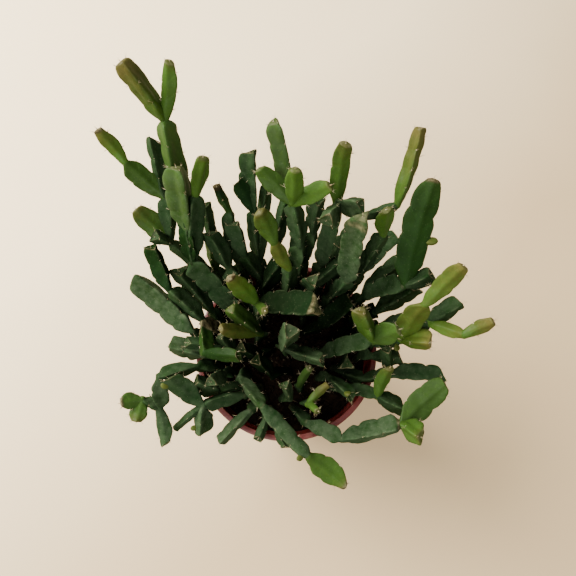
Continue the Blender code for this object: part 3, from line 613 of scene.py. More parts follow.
class Value:
    """A number socket of a material's nodes that Python arithmetic can be done with."""

    def __init__(self, tree: bpy.types.NodeTree, socket: bpy.types.NodeSocket) -> None:
        """Wrap one output socket of a node tree."""
        self.tree, self.socket = tree, socket

    def maths(self, operation: str, *terms: Any, clamp: bool = False) -> "Value":
        """Add a Math node.

        Args:
            operation: the node's operation.
            terms: its inputs, each a Value or a number.
            clamp: whether the result is kept between 0 and 1.

        Returns:
            The node's result.
        """
        node = self.tree.nodes.new("ShaderNodeMath")
        node.operation, node.use_clamp = operation, clamp
        for place, term in enumerate(terms):
            if isinstance(term, Value):
                self.tree.links.new(term.socket, node.inputs[place])
            else:
                node.inputs[place].default_value = term
        return Value(self.tree, node.outputs[0])

    def __add__(self, other: Any) -> "Value":
        """The sum."""
        return self.maths("ADD", self, other)

    def __mul__(self, other: Any) -> "Value":
        """The product."""
        return self.maths("MULTIPLY", self, other)

    def __sub__(self, other: Any) -> "Value":
        """This less the other."""
        return self.maths("SUBTRACT", self, other)

    def __rsub__(self, other: Any) -> "Value":
        """The other less this."""
        return self.maths("SUBTRACT", other, self)

    def __pow__(self, other: Any) -> "Value":
        """The power."""
        return self.maths("POWER", self, other)

    __radd__ = __add__
    __rmul__ = __mul__

    def ridge(self, width: float) -> "Value":
        """1 where this number is whole, falling to 0 over a width on either side."""
        off = (self + 0.5).maths("FRACT", self + 0.5) - 0.5
        return 1.0 - off.maths("ABSOLUTE", off).above(0.0, width)

    def above(self, low: float, high: float) -> "Value":
        """How far this number has risen from low, 0, to high, 1."""
        return self.maths("MULTIPLY", self - low, 1.0 / (high - low), clamp=True)


class Bench:
    """One material and the tools that make its nodes."""

    def __init__(self, name: str) -> None:
        """Start a material that has only its shader.

        Args:
            name: its name.
        """
        self.material = bpy.data.materials.new(name)
        self.material.use_nodes = True
        self.tree = self.material.node_tree
        self.shader = self.tree.nodes["Principled BSDF"]
        self.place = self.node("ShaderNodeTexCoord").outputs["Object"]

    def node(self, kind: str, settings: dict[str, Any] | None = None,
             sockets: dict[Any, Any] | None = None) -> bpy.types.Node:
        """Add any node.

        Args:
            kind: the node's type.
            settings: its properties, or "stops" for a ramp's (place, colour) pairs.
            sockets: values or links of its inputs, by name or number.

        Returns:
            The new node.
        """
        node = self.tree.nodes.new(kind)
        for name, setting in (settings or {}).items():
            if name == "stops":
                ramp = node.color_ramp.elements
                while len(ramp) < len(setting):
                    ramp.new(0.5)
                for element, (where, colour) in zip(ramp, setting):
                    element.position, element.color = where, (*colour, 1.0)
            else:
                setattr(node, name, setting)
        for key, item in (sockets or {}).items():
            self.join(item, node.inputs[key])
        return node

    def join(self, item: Any, socket: bpy.types.NodeSocket) -> None:
        """Link or set one input socket.

        Args:
            item: a Value, a socket, a colour or a number.
            socket: the input.
        """
        item = item.socket if isinstance(item, Value) else item
        if isinstance(item, bpy.types.NodeSocket):
            self.tree.links.new(item, socket)
        elif isinstance(item, tuple) and len(item) == 3 and socket.type == "RGBA":
            socket.default_value = (*item, 1.0)
        else:
            socket.default_value = item

    def number(self, attribute: str) -> Value:
        """A number that the mesh carries at each of its points."""
        node = self.node("ShaderNodeAttribute", {"attribute_name": attribute})
        return Value(self.tree, node.outputs["Fac"])

    def clouds(self, per_metre: float, detail: float = 2.0, roughness: float = 0.5) -> Value:
        """Soft noise from about 0.3 to 0.7, with so many waves in a metre."""
        return Value(self.tree, self.node("ShaderNodeTexNoise", {}, {
            "Vector": self.place, "Scale": per_metre, "Detail": detail, "Roughness": roughness}).outputs[0])

    def dots(self, per_metre: float) -> Value:
        """Distance from the nearest of scattered points, so many to a metre each way."""
        node = self.node("ShaderNodeTexVoronoi", {}, {"Vector": self.place, "Scale": per_metre})
        return Value(self.tree, node.outputs["Distance"])

    def ramp(self, amount: Value, stops: Sequence[tuple[float, Triple]]) -> bpy.types.NodeSocket:
        """A colour that follows a number."""
        return self.node("ShaderNodeValToRGB", {"stops": stops}, {0: amount}).outputs[0]

    def mix(self, amount: Any, one: Any, two: Any) -> bpy.types.NodeSocket:
        """Two colours mixed by a number."""
        return self.node("ShaderNodeMix", {"data_type": "RGBA"}, {0: amount, 6: one, 7: two}).outputs[2]

    def shade(self, colour: bpy.types.NodeSocket, amount: Value) -> bpy.types.NodeSocket:
        """A colour made lighter or darker by a factor round 1."""
        return self.node("ShaderNodeHueSaturation", {}, {"Value": amount, "Color": colour}).outputs[0]

    def bump(self, height: Value, distance: float, strength: float = 1.0) -> None:
        """Give the surface fine relief, with its greatest height in mm."""
        node = self.node("ShaderNodeBump", {}, {
            "Height": height, "Distance": distance * MM, "Strength": strength})
        self.join(node.outputs[0], self.shader.inputs["Normal"])

    def finish(self, **inputs: Any) -> bpy.types.Material:
        """Set the shader's inputs.

        Args:
            inputs: what each is linked or set to, named with _ for a space.

        Returns:
            The material.
        """
        for name, item in inputs.items():
            self.join(item, self.shader.inputs[name.replace("_", " ")])
        return self.material


def tint(red: int, green: int, blue: int) -> Triple:
    """A colour as shown on a screen, from 0 to 255, made linear."""
    return tuple((part / 255) ** 2.2 for part in (red, green, blue))


@dataclass(frozen=True)
class SkinFinish:
    """Waxy skin that runs from olive growth through bright and dark green to cork."""
    ages: tuple[tuple[float, Triple], ...] = (
        (0.00, tint(74, 71, 36)), (0.12, tint(58, 67, 28)), (0.22, tint(51, 73, 28)),
        (0.42, tint(44, 63, 26)), (0.60, tint(30, 49, 21)), (0.80, tint(26, 41, 24)),
        (0.93, tint(28, 37, 23)), (1.00, tint(44, 38, 25)))
    # The bloom colour is the skin's own pale wax, and also a painted sheen on the old stems
    bloom: Triple = tint(67, 78, 58)
    # The edge colour is partly the wings' own paler margin and partly a painted highlight along the ridges
    edge: Triple = tint(70, 80, 56)
    scar: Triple = tint(98, 92, 68)
    scar_dark: Triple = tint(46, 38, 24)
    speck: Triple = tint(112, 122, 88)
    broad_waves: float = 90
    mottle_waves: float = 330
    fine_waves: float = 1500
    specks: float = 700
    # How much darker the painted shade makes the skin deep in the plant
    shade_depth: float = 0.88
    # How strongly the bloom and its painted sheen cover the skin
    bloom_and_sheen_depth: float = 0.75
    relief: float = 0.24

    def make(self) -> bpy.types.Material:
        """Build the skin's nodes.

        Returns:
            The material.
        """
        b = Bench("waxy_skin")
        age, out, scar, bloom, shift, beat, inner = (b.number(name) for name in LAYERS)
        broad, fine = b.clouds(self.broad_waves, 2), b.clouds(self.fine_waves, 2)
        mottle = b.clouds(self.mottle_waves, 3, 0.6)
        colour = b.ramp(age + (mottle - 0.5) * 0.16 + shift * AGE_SHIFT, self.ages)
        vein = (beat + (1.0 - out) * 0.55 + (mottle - 0.5) * 0.3).ridge(0.10) * out.above(0.05, 0.35)
        vein = vein * (1.0 - out.above(0.8, 1.0)) * (1.0 - scar)
        # shift carries each tone's lift, which makes the SHADED segments darker as painted shade
        light = 1.0 + (broad - 0.5) * 0.8 + (fine - 0.5) * 0.4 + shift * 0.18 + vein * 0.14
        # Painted shade: the skin is darker where the plant shades itself
        colour = b.shade(colour, light * (1.0 - inner * self.shade_depth))
        # Pale bloom in patches: partly the skin's own wax, partly a painted sheen, thinner in the painted
        # shade
        bloom_and_sheen = (bloom * (broad * 1.2 + mottle * 1.8 - 0.95)).above(0.0, 1.0) * (1.0 - inner * 0.5)
        colour = b.mix(bloom_and_sheen * self.bloom_and_sheen_depth, colour, self.bloom)
        old = age.above(0.45, 0.75)
        # Pale wing edges: partly the margins' own colour, partly a painted highlight along the ridges, faded
        # in the painted shade
        edge = out.above(0.84, 1.0) * (0.12 + old * 0.20 + bloom * 0.12) * mottle.above(0.38, 0.60)
        colour = b.mix(edge * (1.0 - inner * 0.7), colour, self.edge)
        speck = (1.0 - b.dots(self.specks).above(0.08, 0.20)) * (0.10 + bloom * 0.16) * (1.0 - scar)
        colour = b.mix(speck, colour, self.speck)
        bark = b.mix(mottle.above(0.35, 0.65), self.scar_dark, self.scar)
        crust = (scar * 1.35 + (mottle - 0.5) * 1.1 * scar).above(0.25, 0.75)
        # The cork is also darkened by the painted shade
        colour = b.mix(crust * (1.0 - inner * 0.4), colour, bark)
        b.bump(fine * 0.5 + mottle * (0.5 + crust * 1.5) + speck * 0.6 - vein * 0.5, self.relief, 0.55)
        rough = 0.48 + bloom * 0.12 + crust * 0.3 + inner * 0.15
        return b.finish(Base_Color=colour, Roughness=rough, Specular_IOR_Level=0.0,
                        Coat_Weight=(1.0 - old) * (1.0 - crust) * 0.12, Coat_Roughness=0.38)


@dataclass(frozen=True)
class WoolFinish:
    """Pale wool of the areoles and their bristles."""
    pale: Triple = tint(176, 166, 132)
    brown: Triple = tint(128, 104, 66)
    tuft_waves: float = 700
    fibre_waves: float = 6000
    relief: float = 0.1

    def make(self) -> bpy.types.Material:
        """Build the wool's nodes.

        Returns:
            The material.
        """
        b = Bench("areole_wool")
        colour = b.mix(b.clouds(self.tuft_waves, 2).above(0.35, 0.65), self.brown, self.pale)
        # Painted shade: the wool is darker where the plant shades itself
        colour = b.shade(colour, 1.0 - b.number("inner") * 0.8)
        b.bump(b.clouds(self.fibre_waves, 2), self.relief)
        return b.finish(Base_Color=colour, Roughness=0.75)


@dataclass(frozen=True)
class PlasticFinish:
    """Thin terracotta plastic, a little dusty and scuffed."""
    body: Triple = tint(94, 28, 21)
    deep: Triple = tint(72, 21, 16)
    dust: Triple = tint(116, 80, 66)
    blotch_waves: float = 28
    dust_waves: float = 60
    fine_waves: float = 900
    scuffs: float = 160
    relief: float = 0.05

    def make(self) -> bpy.types.Material:
        """Build the plastic's nodes.

        Returns:
            The material.
        """
        b = Bench("terracotta_plastic")
        fine = b.clouds(self.fine_waves, 3)
        colour = b.mix(b.clouds(self.blotch_waves, 3, 0.6).above(0.3, 0.7), self.deep, self.body)
        dust = (b.clouds(self.dust_waves, 5, 0.7) + fine * 0.3).above(0.66, 0.9) * 0.4
        b.bump(fine + b.dots(self.scuffs).above(0.0, 0.5) * 0.4, self.relief, 0.5)
        return b.finish(Base_Color=b.mix(dust, colour, self.dust),
                        Roughness=0.42 + dust * 0.5 + (fine - 0.5) * 0.15)


@dataclass(frozen=True)
class SoilFinish:
    """Dark peaty soil with brown fibre and a few pale grains."""
    dark: Triple = tint(13, 10, 8)
    brown: Triple = tint(34, 25, 18)
    grain: Triple = tint(70, 62, 50)
    clump_waves: float = 260
    fine_waves: float = 2200
    grains: float = 210
    patch_waves: float = 45
    relief: float = 0.8

    def make(self) -> bpy.types.Material:
        """Build the soil's nodes.

        Returns:
            The material.
        """
        b = Bench("peaty_soil")
        clumps, fine = b.clouds(self.clump_waves, 4, 0.65), b.clouds(self.fine_waves, 3, 0.7)
        colour = b.mix((clumps + fine * 0.5 - 0.25).above(0.3, 0.7), self.dark, self.brown)
        grains = 1.0 - b.dots(self.grains).above(0.12, 0.18)
        colour = b.mix(grains * b.clouds(self.patch_waves).above(0.5, 0.6) * 0.7, colour, self.grain)
        b.bump(clumps + fine * 0.6, self.relief)
        return b.finish(Base_Color=colour, Roughness=0.95, Specular_IOR_Level=0.04)


@dataclass(frozen=True)
class FloorFinish:
    """Plain pale floor, with a painted shade that deepens its colour farther from the window.

    The reach, in metres, says where the painted shade deepens, and the rim says where it is plain again.
    """
    pale: Triple = tint(229, 207, 165)
    # deep is the colour of the painted shade far from the window
    deep: Triple = tint(184, 158, 119)
    reach: tuple[float, float] = (-0.29, 0.09)
    rim: tuple[float, float] = (0.5, 1.2)
    waves: float = 5

    def make(self) -> bpy.types.Material:
        """Build the floor's nodes.

        Returns:
            The material.
        """
        b = Bench("pale_floor")
        sockets = b.node("ShaderNodeSeparateXYZ", {}, {0: b.place}).outputs
        x, y = Value(b.tree, sockets[0]), Value(b.tree, sockets[1])
        # Painted shade: the floor deepens in colour farther from the window, where its light falls off
        falloff_shade = (x - y + (b.clouds(self.waves, 2) - 0.5) * 0.12).above(*self.reach)
        plain = ((x * x + y * y) ** 0.5).above(*self.rim)
        return b.finish(Base_Color=b.mix(falloff_shade * (1.0 - plain), self.pale, self.deep), Roughness=0.7,
                        Specular_IOR_Level=0.2)


def swell(distance: Array, reach: float, power: float, bluntness: float = 1.0) -> Array:
    """A rise from 0 to 1 over a distance: straight, rounded or blunt at its start."""
    return (1 - (1 - np.clip(distance / reach, 0, 1)) ** power) ** (1 / bluntness)


def fullness(along: Array, wings: int) -> Array:
    """How full the wings are along a segment: narrow at the base, widest past the middle.

    Args:
        along: places from 0, the base, to 1.
        wings: how many wings there are.

    Returns:
        A share of the wings' full reach for each place.
    """
    base = 1 - NARROW_BASE * (1 - along / WIDEST) ** 2
    end = 1 - NARROW_END[wings] * ((along - WIDEST) / (1 - WIDEST)) ** 2
    return np.where(along < WIDEST, base, end)


def crenation(along: Array, count: int, phase: float, depths: Array) -> Array:
    """The slow rises and sharp falls of a wing's margin between its notches.

    Args:
        along: places from 0 to 1.
        count: how many scallops there are.
        phase: the share of a scallop that is left out at the base.
        depths: how deep each notch is.

    Returns:
        How full the wing is at each place, 1 at the crests.
    """
    place = np.clip(along * count + phase, 0, len(depths) - 1.001)
    tooth = place.astype(int)
    within = place - tooth
    rise = np.clip(1 - within / CREST, 0, 1) ** RISE_POWER
    fall = np.clip((within - CREST) / (1 - CREST), 0, 1) ** FALL_POWER
    return 1 - depths[tooth] * rise - depths[tooth + 1] * fall


def canopy(places: Array) -> Array:
    """How deep in the plant's own shade places are, from 0 to 1.

    Args:
        places: points in mm, with any number of axes before the last.

    Returns:
        The shade at each point.
    """
    # This shade is painted: it darkens the colours of the skin and the wool.
    low, high = SHADE_HEIGHTS
    inner, outer = SHADE_RADII
    radius = np.hypot(places[..., 0] - SHADE_MIDDLE[0], places[..., 1] - SHADE_MIDDLE[1])
    lit = np.clip((places[..., 2] - low) / (high - low), 0, 1)
    return (1 - lit) * (1 - np.clip((radius - inner) / (outer - inner), 0, 1))


def edge_shape(apart: Array, power: float) -> Array:
    """How far a wing of three reaches, from 1 at its rounded edge to 0 in the hollow beside it.

    Args:
        apart: angles from the middle of the wing, in radians.
        power: how narrow the wing is.

    Returns:
        A share of the wing's reach for each angle.
    """
    turn = np.clip(np.abs(apart) / (math.pi / 3), 0, 1)
    soft = (np.sqrt(turn ** 2 + EDGE_ROUND ** 2) - EDGE_ROUND) / (math.hypot(1, EDGE_ROUND) - EDGE_ROUND)
    return (1 - soft) ** power


@dataclass
class SegmentForm:
    """The fine surface of one segment, as rows of points in mm.

    The frame is its axis and the directions across it. Low and high are the normals of the planes that
    halve the bends at its joints. Size and cork are as in SIZES and CORK.
    """
    skeleton: Skeleton
    number: int
    frame: Array
    tone: Tone
    ending: Ending
    low: Array
    high: Array
    chance: random.Random
    size: float
    cork: Triple | None

    def __post_init__(self) -> None:
        """Measure the segment, and draw everything that makes it differ from the others."""
        self.segment = segment = self.skeleton.segments[self.number]
        self.axis, self.side, self.across = self.frame
        self.near, self.far = self.skeleton.joints[[segment.near, segment.far]]
        self.rooted = segment.near == self.skeleton.roots[segment.stem]
        self.length = float(np.linalg.norm(self.far - self.near))
        self.end = FOOT_END if self.rooted and segment.ends_run else 1.0
        self.count = int(min(MOST_SCALLOPS, max(FEWEST_SCALLOPS, round(self.length / SCALLOP_LENGTH))))
        draw, wings = self.chance.uniform, segment.wings
        self.shift = draw(-1, 1)
        self.phases = np.array([rest + draw(-0.08, 0.08) for rest in (0.0, 1 - CREST, 0.0)[:wings]]) % 1.0
        ripple = RIPPLE * (CALM if self.tone.is_tender else 1.0)
        self.depths = np.array([[depth * ripple * draw(0.35, 1.5) for _ in range(self.count + 3)]
                                for depth in (NOTCH, OTHER_NOTCH, NOTCH)[:wings]])
        self.leans = np.array([draw(-1, 1) for _ in range(wings)])
        self.sizes = np.array([self.size * draw(0.88, 1.06) for _ in range(wings)])
        self.twist = math.radians(draw(-TWIST, TWIST))
        self.slant = np.array([draw(-1, 1), draw(-1, 1)]) * self.ending.slant
        self.bow = np.array([draw(-1, 1), draw(-1, 1)]) * BOW * self.length
        self.plumpness = draw(0.9, 1.12)

    def line(self, along: Array) -> Array:
        """Points of the middle line, which bows a little to one side."""
        bow = self.bow[0] * self.side + self.bow[1] * self.across
        return self.skeleton.middles(along)[self.number] + (4 * along * (1 - along))[:, None] * bow

    def angles(self) -> Array:
        """The directions of the points round the axis, closer together at the edges of three wings."""
        if self.segment.wings == 2:
            return math.tau * np.arange(POINTS) / POINTS
        return np.radians([90 + 120 * wing + offset for wing in range(3) for offset in WING_OFFSETS])

    def circle(self) -> Array:
        """Directions of the points of a plain ring, in space."""
        angles = self.angles()[:, None]
        return np.cos(angles) * self.side + np.sin(angles) * self.across

    def places(self) -> Array:
        """Space the rows along the segment, closer at its notches and ends.

        Returns:
            Their places, from 0 to 1.
        """
        steps = (np.arange(self.count)[:, None] + SCALLOP_STEPS).ravel() / self.count * self.end
        ends = END_STEPS / self.length
        every = np.sort(np.concatenate((steps, ends, self.end - ends)))
        closest = CLOSEST_ROWS / self.length
        every = every[(every > closest) & (every < self.end - closest)]
        every = every[np.insert(np.diff(every) > closest, 0, True)]
        return np.append(every, self.end) if self.segment.ends_run else every

    def body(self, along: Array) -> Array:
        """Work out how far the wings have grown out of the neck.

        Args:
            along: places from 0 to 1.

        Returns:
            A share for each place: 0 is the neck alone, and 1 is full wings.
        """
        wings, length = self.segment.wings, self.length
        base = FOOT_SHARE * length if self.rooted else min(BASE_SHARE[wings] * length, BASE_MOST[wings])
        grown = swell(along * length, base, BASE_POWER)
        left = (self.end - along) * length
        if not self.segment.ends_run:
            return grown * swell(left, NECK_REACH[wings], NECK_POWER)
        tip = self.ending
        rest = swell(left, min(tip.reach, 0.6 * length), tip.power, tip.bluntness)
        return grown * (tip.width + (1 - tip.width) * rest)

    def reaches(self, along: Array) -> Array:
        """Work out how far each wing reaches from the middle line.

        Args:
            along: places from 0 to 1.

        Returns:
            A row for each place with a number in mm for each wing.
        """
        full = np.ones_like(along) if self.rooted else fullness(along, self.segment.wings)
        columns = []
        for phase, depths, lean, size in zip(self.phases, self.depths, self.leans, self.sizes):
            edge = crenation(along / self.end, self.count, phase, depths)
            tilt = 1 + LOPSIDED * lean * np.sin(math.tau * along * TILT_WAVES + TILT_START * lean)
            reach = self.segment.half * full * edge * tilt * size
            columns.append(NECK + np.maximum(reach - NECK, 0) * self.body(along))
        return np.stack(columns, axis=1)

    def outline(self, along: Array) -> tuple[Array, Array]:
        """The cross-sections of a blade or of three wings.

        Args:
            along: places from 0 to 1.

        Returns:
            Rows of flat points, and how far out on a wing each point is.
        """
        reaches, body = self.reaches(along), self.body(along)[:, None]
        angles = self.angles()
        c, s = np.cos(angles)[None], np.sin(angles)[None]
        if self.segment.wings == 2:
            u = np.where(c > 0, reaches[:, :1], reaches[:, 1:]) * c
            x = np.abs(c)
            flat = BLADE_THICKNESS / 2 * self.plumpness
            blade = flat * (BLADE_EDGE * np.sqrt(1 - x ** 3.0)
                            + (1 - BLADE_EDGE) * np.exp(-(u / MIDRIB) ** 2) * np.abs(s))
            v = np.sign(s) * ((1 - body) * NECK * np.abs(s) + body * blade)
            return np.stack((u, v), axis=2), x * body
        apart = (angles - self.segment.ways[:, None] + math.pi) % math.tau - math.pi
        lobes = edge_shape(apart, WING_POWER + self.tone.age)
        hollow = NECK + np.maximum(self.segment.half * HOLLOW * self.plumpness - NECK, 0) * body
        radius = hollow + ((reaches[:, :, None] - hollow[:, :, None]) * lobes[None]).sum(axis=1)
        return np.stack((radius * c, radius * s), axis=2), lobes.sum(axis=0)[None] * body

    def in_space(self, middles: Array, flat: Array, along: Array) -> Array:
        """Put cross-sections in their places.

        Args:
            middles: a point of the middle line for each row.
            flat: rows of flat points.
            along: the rows' places from 0 to 1.

        Returns:
            Rows of points in space.
        """
        turn = (self.twist * (along - 0.5))[:, None, None]
        side = np.cos(turn) * self.side + np.sin(turn) * self.across
        across = np.cos(turn) * self.across - np.sin(turn) * self.side
        rows = middles[:, None] + flat[:, :, :1] * side + flat[:, :, 1:] * across
        if not self.segment.ends_run:
            return rows
        near_end = np.clip(1 - (self.end - along) * self.length / SLANT_REACH, 0, 1)[:, None] ** 1.5
        return rows + self.axis * ((flat @ self.slant) * near_end)[:, :, None]

    def mitred(self, rows: Array, along: Array) -> Array:
        """Keep rows on their own side of the planes that halve the bends at the joints.

        Args:
            rows: rows of points in space.
            along: the rows' places from 0 to 1.

        Returns:
            The rows, with points that were past a plane drawn back along the axis.
        """
        planes = [(self.near, self.low, self.axis, along)]
        if not self.segment.ends_run:
            planes.append((self.far, -self.high, -self.axis, 1 - along))
        for base, normal, axis, gone in planes:
            gap = (MITRE_BASE + MITRE_RISE * gone * self.length)[:, None]
            short = np.maximum(gap - (rows - base) @ normal, 0) / (axis @ normal)
            rows = rows + axis * short[:, :, None]
        return rows

    def neck(self) -> Array:
        """The ring at the near joint, cut along the plane that halves the bend."""
        ring = self.circle() * NECK * NECK_SLIM
        return self.near + ring - self.axis * ((ring @ self.low) / (self.axis @ self.low))[:, None]

    def scars(self, along: Array) -> Array:
        """Work out how corky the skin is.

        Args:
            along: places from 0 to 1.

        Returns:
            A number for each place, where 1 is bark.
        """
        left = (self.end - along) * self.length
        aged = (NEW_SCAR + SCAR_BY_AGE * self.tone.age) * (0.7 + 0.5 * self.shift)
        scar = np.exp(-along * self.length / NECK_SCAR) * aged
        thick, fade = (self.ending.rim, self.ending.fade) if self.segment.ends_run else (aged, NECK_SCAR)
        scar = scar + thick * np.exp(-left / fade)
        if self.cork:
            low, high, thick = self.cork
            scar = scar + thick * np.clip(1.3 - np.abs((along - (low + high) / 2) / (high - low)) * 2, 0, 1)
        return scar

    def ages(self, along: Array) -> Array:
        """Work out how old the skin looks: a little younger towards the end.

        Args:
            along: places from 0 to 1.

        Returns:
            An age for each place.
        """
        slope = NEW_AGE_SLOPE if self.tone in (Tone.NEWEST, Tone.BRONZE) else AGE_SLOPE
        age = self.tone.age - AGE_SHIFT * self.tone.lift + slope * (0.75 - along)
        if self.segment.ends_run:
            left = (self.end - along) * self.length
            age = age + self.ending.burn * np.exp(-2 * left / self.ending.reach)
        return age + (1 - age) * np.clip(1 - along * BARK_FADE, 0, 1) if self.rooted else age

    def build(self) -> tuple[Array, Array]:
        """Build the segment's surface.

        Returns:
            Its rows of points, and the numbers of LAYERS that the points carry.
        """
        along = self.places()
        flat, out = self.outline(along)
        middles = self.line(along)
        rows = self.mitred(self.in_space(middles, flat, along), along)
        scar = self.scars(along)
        if self.segment.ends_run:
            tip = self.ending
            grown = [self.in_space(middles[-1:] + self.axis * lift, flat[-1][None] * size, along[-1:])
                     for size, lift in tip.face]
            rows = np.concatenate([rows, *grown])
            out = np.concatenate([out, *[out[-1][None] * size for size, _ in tip.face]])
            cut = [tip.rim if size > FACE_RIM else tip.middle for size, _ in tip.face]
            scar = np.concatenate([scar, cut])
            along = np.concatenate([along, [self.end] * len(tip.face)])
        nearest = np.cos(self.angles()[:, None] - self.segment.ways[None]).argmax(axis=1)
        beats = (along / self.end * self.count)[:, None] + self.phases[nearest][None]
        # The last of the carried numbers is the painted shade of the plant at each point
        carried = (self.ages(along)[:, None], out, scar[:, None], self.tone.bloom,
                   self.shift + self.tone.lift, beats, canopy(rows))
        return rows, np.stack([np.broadcast_to(numbers, rows.shape[:2]) for numbers in carried], axis=2)

    def wing_way(self, wing: int, place: float) -> Array:
        """The way a wing points at a place along the segment."""
        angle = self.segment.ways[wing] + self.twist * (place - 0.5)
        return math.cos(angle) * self.side + math.sin(angle) * self.across

    def margin(self, place: float, way: Array) -> Array:
        """Find the margin of the wing that points most nearly one way.

        Args:
            place: where along the segment, from 0 to 1.
            way: the way, as a unit vector.

        Returns:
            The point in mm, a little inside the margin.
        """
        wing = max(range(self.segment.wings), key=lambda number: float(self.wing_way(number, place) @ way))
        along = np.array([place])
        reach = self.reaches(along)[0, wing] - BUD_SINK
        return self.line(along)[0] + self.wing_way(wing, place) * reach

    def areoles(self) -> list[tuple[Array, Array]]:
        """Find where the areoles sit: in the notches, and on the end of a run.

        Returns:
            Their places in mm, each with the way that the areole points.
        """
        found = []
        for wing, phase in enumerate(self.phases):
            for number in range(self.count + 2):
                place = (number - phase) / self.count * self.end
                if 0.1 < place < 0.95 * self.end:
                    along, way = np.array([place]), self.wing_way(wing, place)
                    reach = self.reaches(along)[0, wing] - AREOLE_SINK
                    found.append((self.line(along)[0] + way * reach, unit(way + self.axis * 0.5)))
        if self.segment.ends_run:
            last = np.array([self.end])
            middle = self.line(last)[0]
            found.append((middle + self.axis * self.ending.face[-1][1], self.axis))
            for wing, reach in enumerate(self.reaches(last)[0] * CORNER):
                way = self.wing_way(wing, self.end)
                turned = [way @ self.side, way @ self.across] @ self.slant
                found.append((middle + way * reach + self.axis * turned * reach, unit(way + self.axis)))
        return found


def add_tube(bm: bmesh.types.BMesh, rows: Array, carried: Array) -> None:
    """Roll a grid into a closed tube with a pole at each end.

    Args:
        bm: the mesh that the tube is added to.
        rows: rings of points in mm, with all points of the first and of the last in one place.
        carried: the numbers of LAYERS for each point.
    """
    rings, points = rows.shape[:2]
    made = bmesh.ops.create_grid(bm, x_segments=points, y_segments=rings - 1, size=1.0)["verts"]
    layers = [bm.verts.layers.float[name] for name in LAYERS]
    for place, vertex in enumerate(made):
        ring, point = divmod(place, points + 1)
        vertex.co = rows[ring, point % points] * MM
        for layer, number in zip(layers, carried[ring, point % points]):
            vertex[layer] = number
    target = {made[ring * (points + 1) + points]: made[ring * (points + 1)] for ring in range(1, rings - 1)}
    for first in (0, (rings - 1) * (points + 1)):
        target.update({made[first + point]: made[first] for point in range(1, points + 1)})
    faces = list({face for vertex in made for face in vertex.link_faces})
    bmesh.ops.recalc_face_normals(bm, faces=faces)
    bmesh.ops.weld_verts(bm, targetmap=target)


def add_relief(bm: bmesh.types.BMesh, dent: float, wrinkle: float) -> None:
    """Dent and wrinkle a surface along its normals.

    Args:
        bm: the mesh.
        dent: how deep its broad dents are, in mm.
        wrinkle: how deep its fine wrinkles are, in mm.
    """
    bm.normal_update()
    moves = []
    for vertex in bm.verts:
        place = vertex.co / MM
        depth = dent * noise.noise(place / 5.0) + wrinkle * noise.noise(place / 1.6)
        moves.append(vertex.normal * depth * MM)
    for vertex, move in zip(bm.verts, moves):
        vertex.co += move


def to_mesh(bm: bmesh.types.BMesh, name: str) -> bpy.types.Mesh:
    """Turn a bmesh into a mesh.

    Args:
        bm: the bmesh, which is freed.
        name: the mesh's name.

    Returns:
        The new mesh.
    """
    mesh = bpy.data.meshes.new(name)
    bm.to_mesh(mesh)
    bm.free()
    return mesh


def join(bm: bmesh.types.BMesh, part: bmesh.types.BMesh) -> None:
    """Add one mesh to another.

    Args:
        bm: the mesh that grows.
        part: the mesh that is added, and freed.
    """
    mesh = to_mesh(part, "part")
    bm.from_mesh(mesh)
    bpy.data.meshes.remove(mesh)


def lathe(profile: Sequence[tuple[float, float]], steps: int, rounding: float = 0.0) -> bmesh.types.BMesh:
    """Turn half a section round the Z axis.

    Args:
        profile: (radius, height) of its points in mm, from the axis over the top to the axis below.
        steps: how many faces go round.
        rounding: how far its corners are rounded, in mm.

    Returns:
        The closed mesh.
    """
    bm = bmesh.new()
    points = [bm.verts.new((r * MM, 0, z * MM)) for r, z in profile]
    for one, two in zip(points, points[1:]):
        bm.edges.new((one, two))
    if rounding:
        bmesh.ops.bevel(bm, geom=points[1:-1], offset=rounding * MM, offset_type="OFFSET", segments=3,
                        profile=0.5, affect="VERTICES", material=-1, clamp_overlap=True)
    bmesh.ops.spin(bm, geom=bm.verts[:] + bm.edges[:], axis=(0, 0, 1), cent=(0, 0, 0), steps=steps,
                   angle=math.tau, use_merge=True)
    bmesh.ops.remove_doubles(bm, verts=bm.verts, dist=0.001 * MM)
    bmesh.ops.recalc_face_normals(bm, faces=bm.faces)
    return bm


def put_in_scene(name: str, data: bpy.types.ID) -> bpy.types.Object:
    """Make an object and put it in the scene.

    Args:
        name: its name.
        data: its mesh, light or camera.

    Returns:
        The new object.
    """
    thing = bpy.data.objects.new(name, data)
    bpy.context.scene.collection.objects.link(thing)
    return thing


def finish_piece(bm: bmesh.types.BMesh, name: str, finishes: Sequence[bpy.types.Material],
                 replaced: str) -> bpy.types.Object:
    """Make an object of a mesh, dress it and hand it to the frame.

    Args:
        bm: the mesh, which is freed.
        name: the piece's name.
        finishes: its materials.
        replaced: the CAD node that it stands for.

    Returns:
        The new object.
    """
    thing = put_in_scene(name, to_mesh(bm, name))
    thing.data.shade_smooth()
    for material in finishes:
        thing.data.materials.append(material)
    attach(thing, "root")
    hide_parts(replaced)
    LOG.info("%s: %d faces", name, len(thing.data.polygons))
    return thing


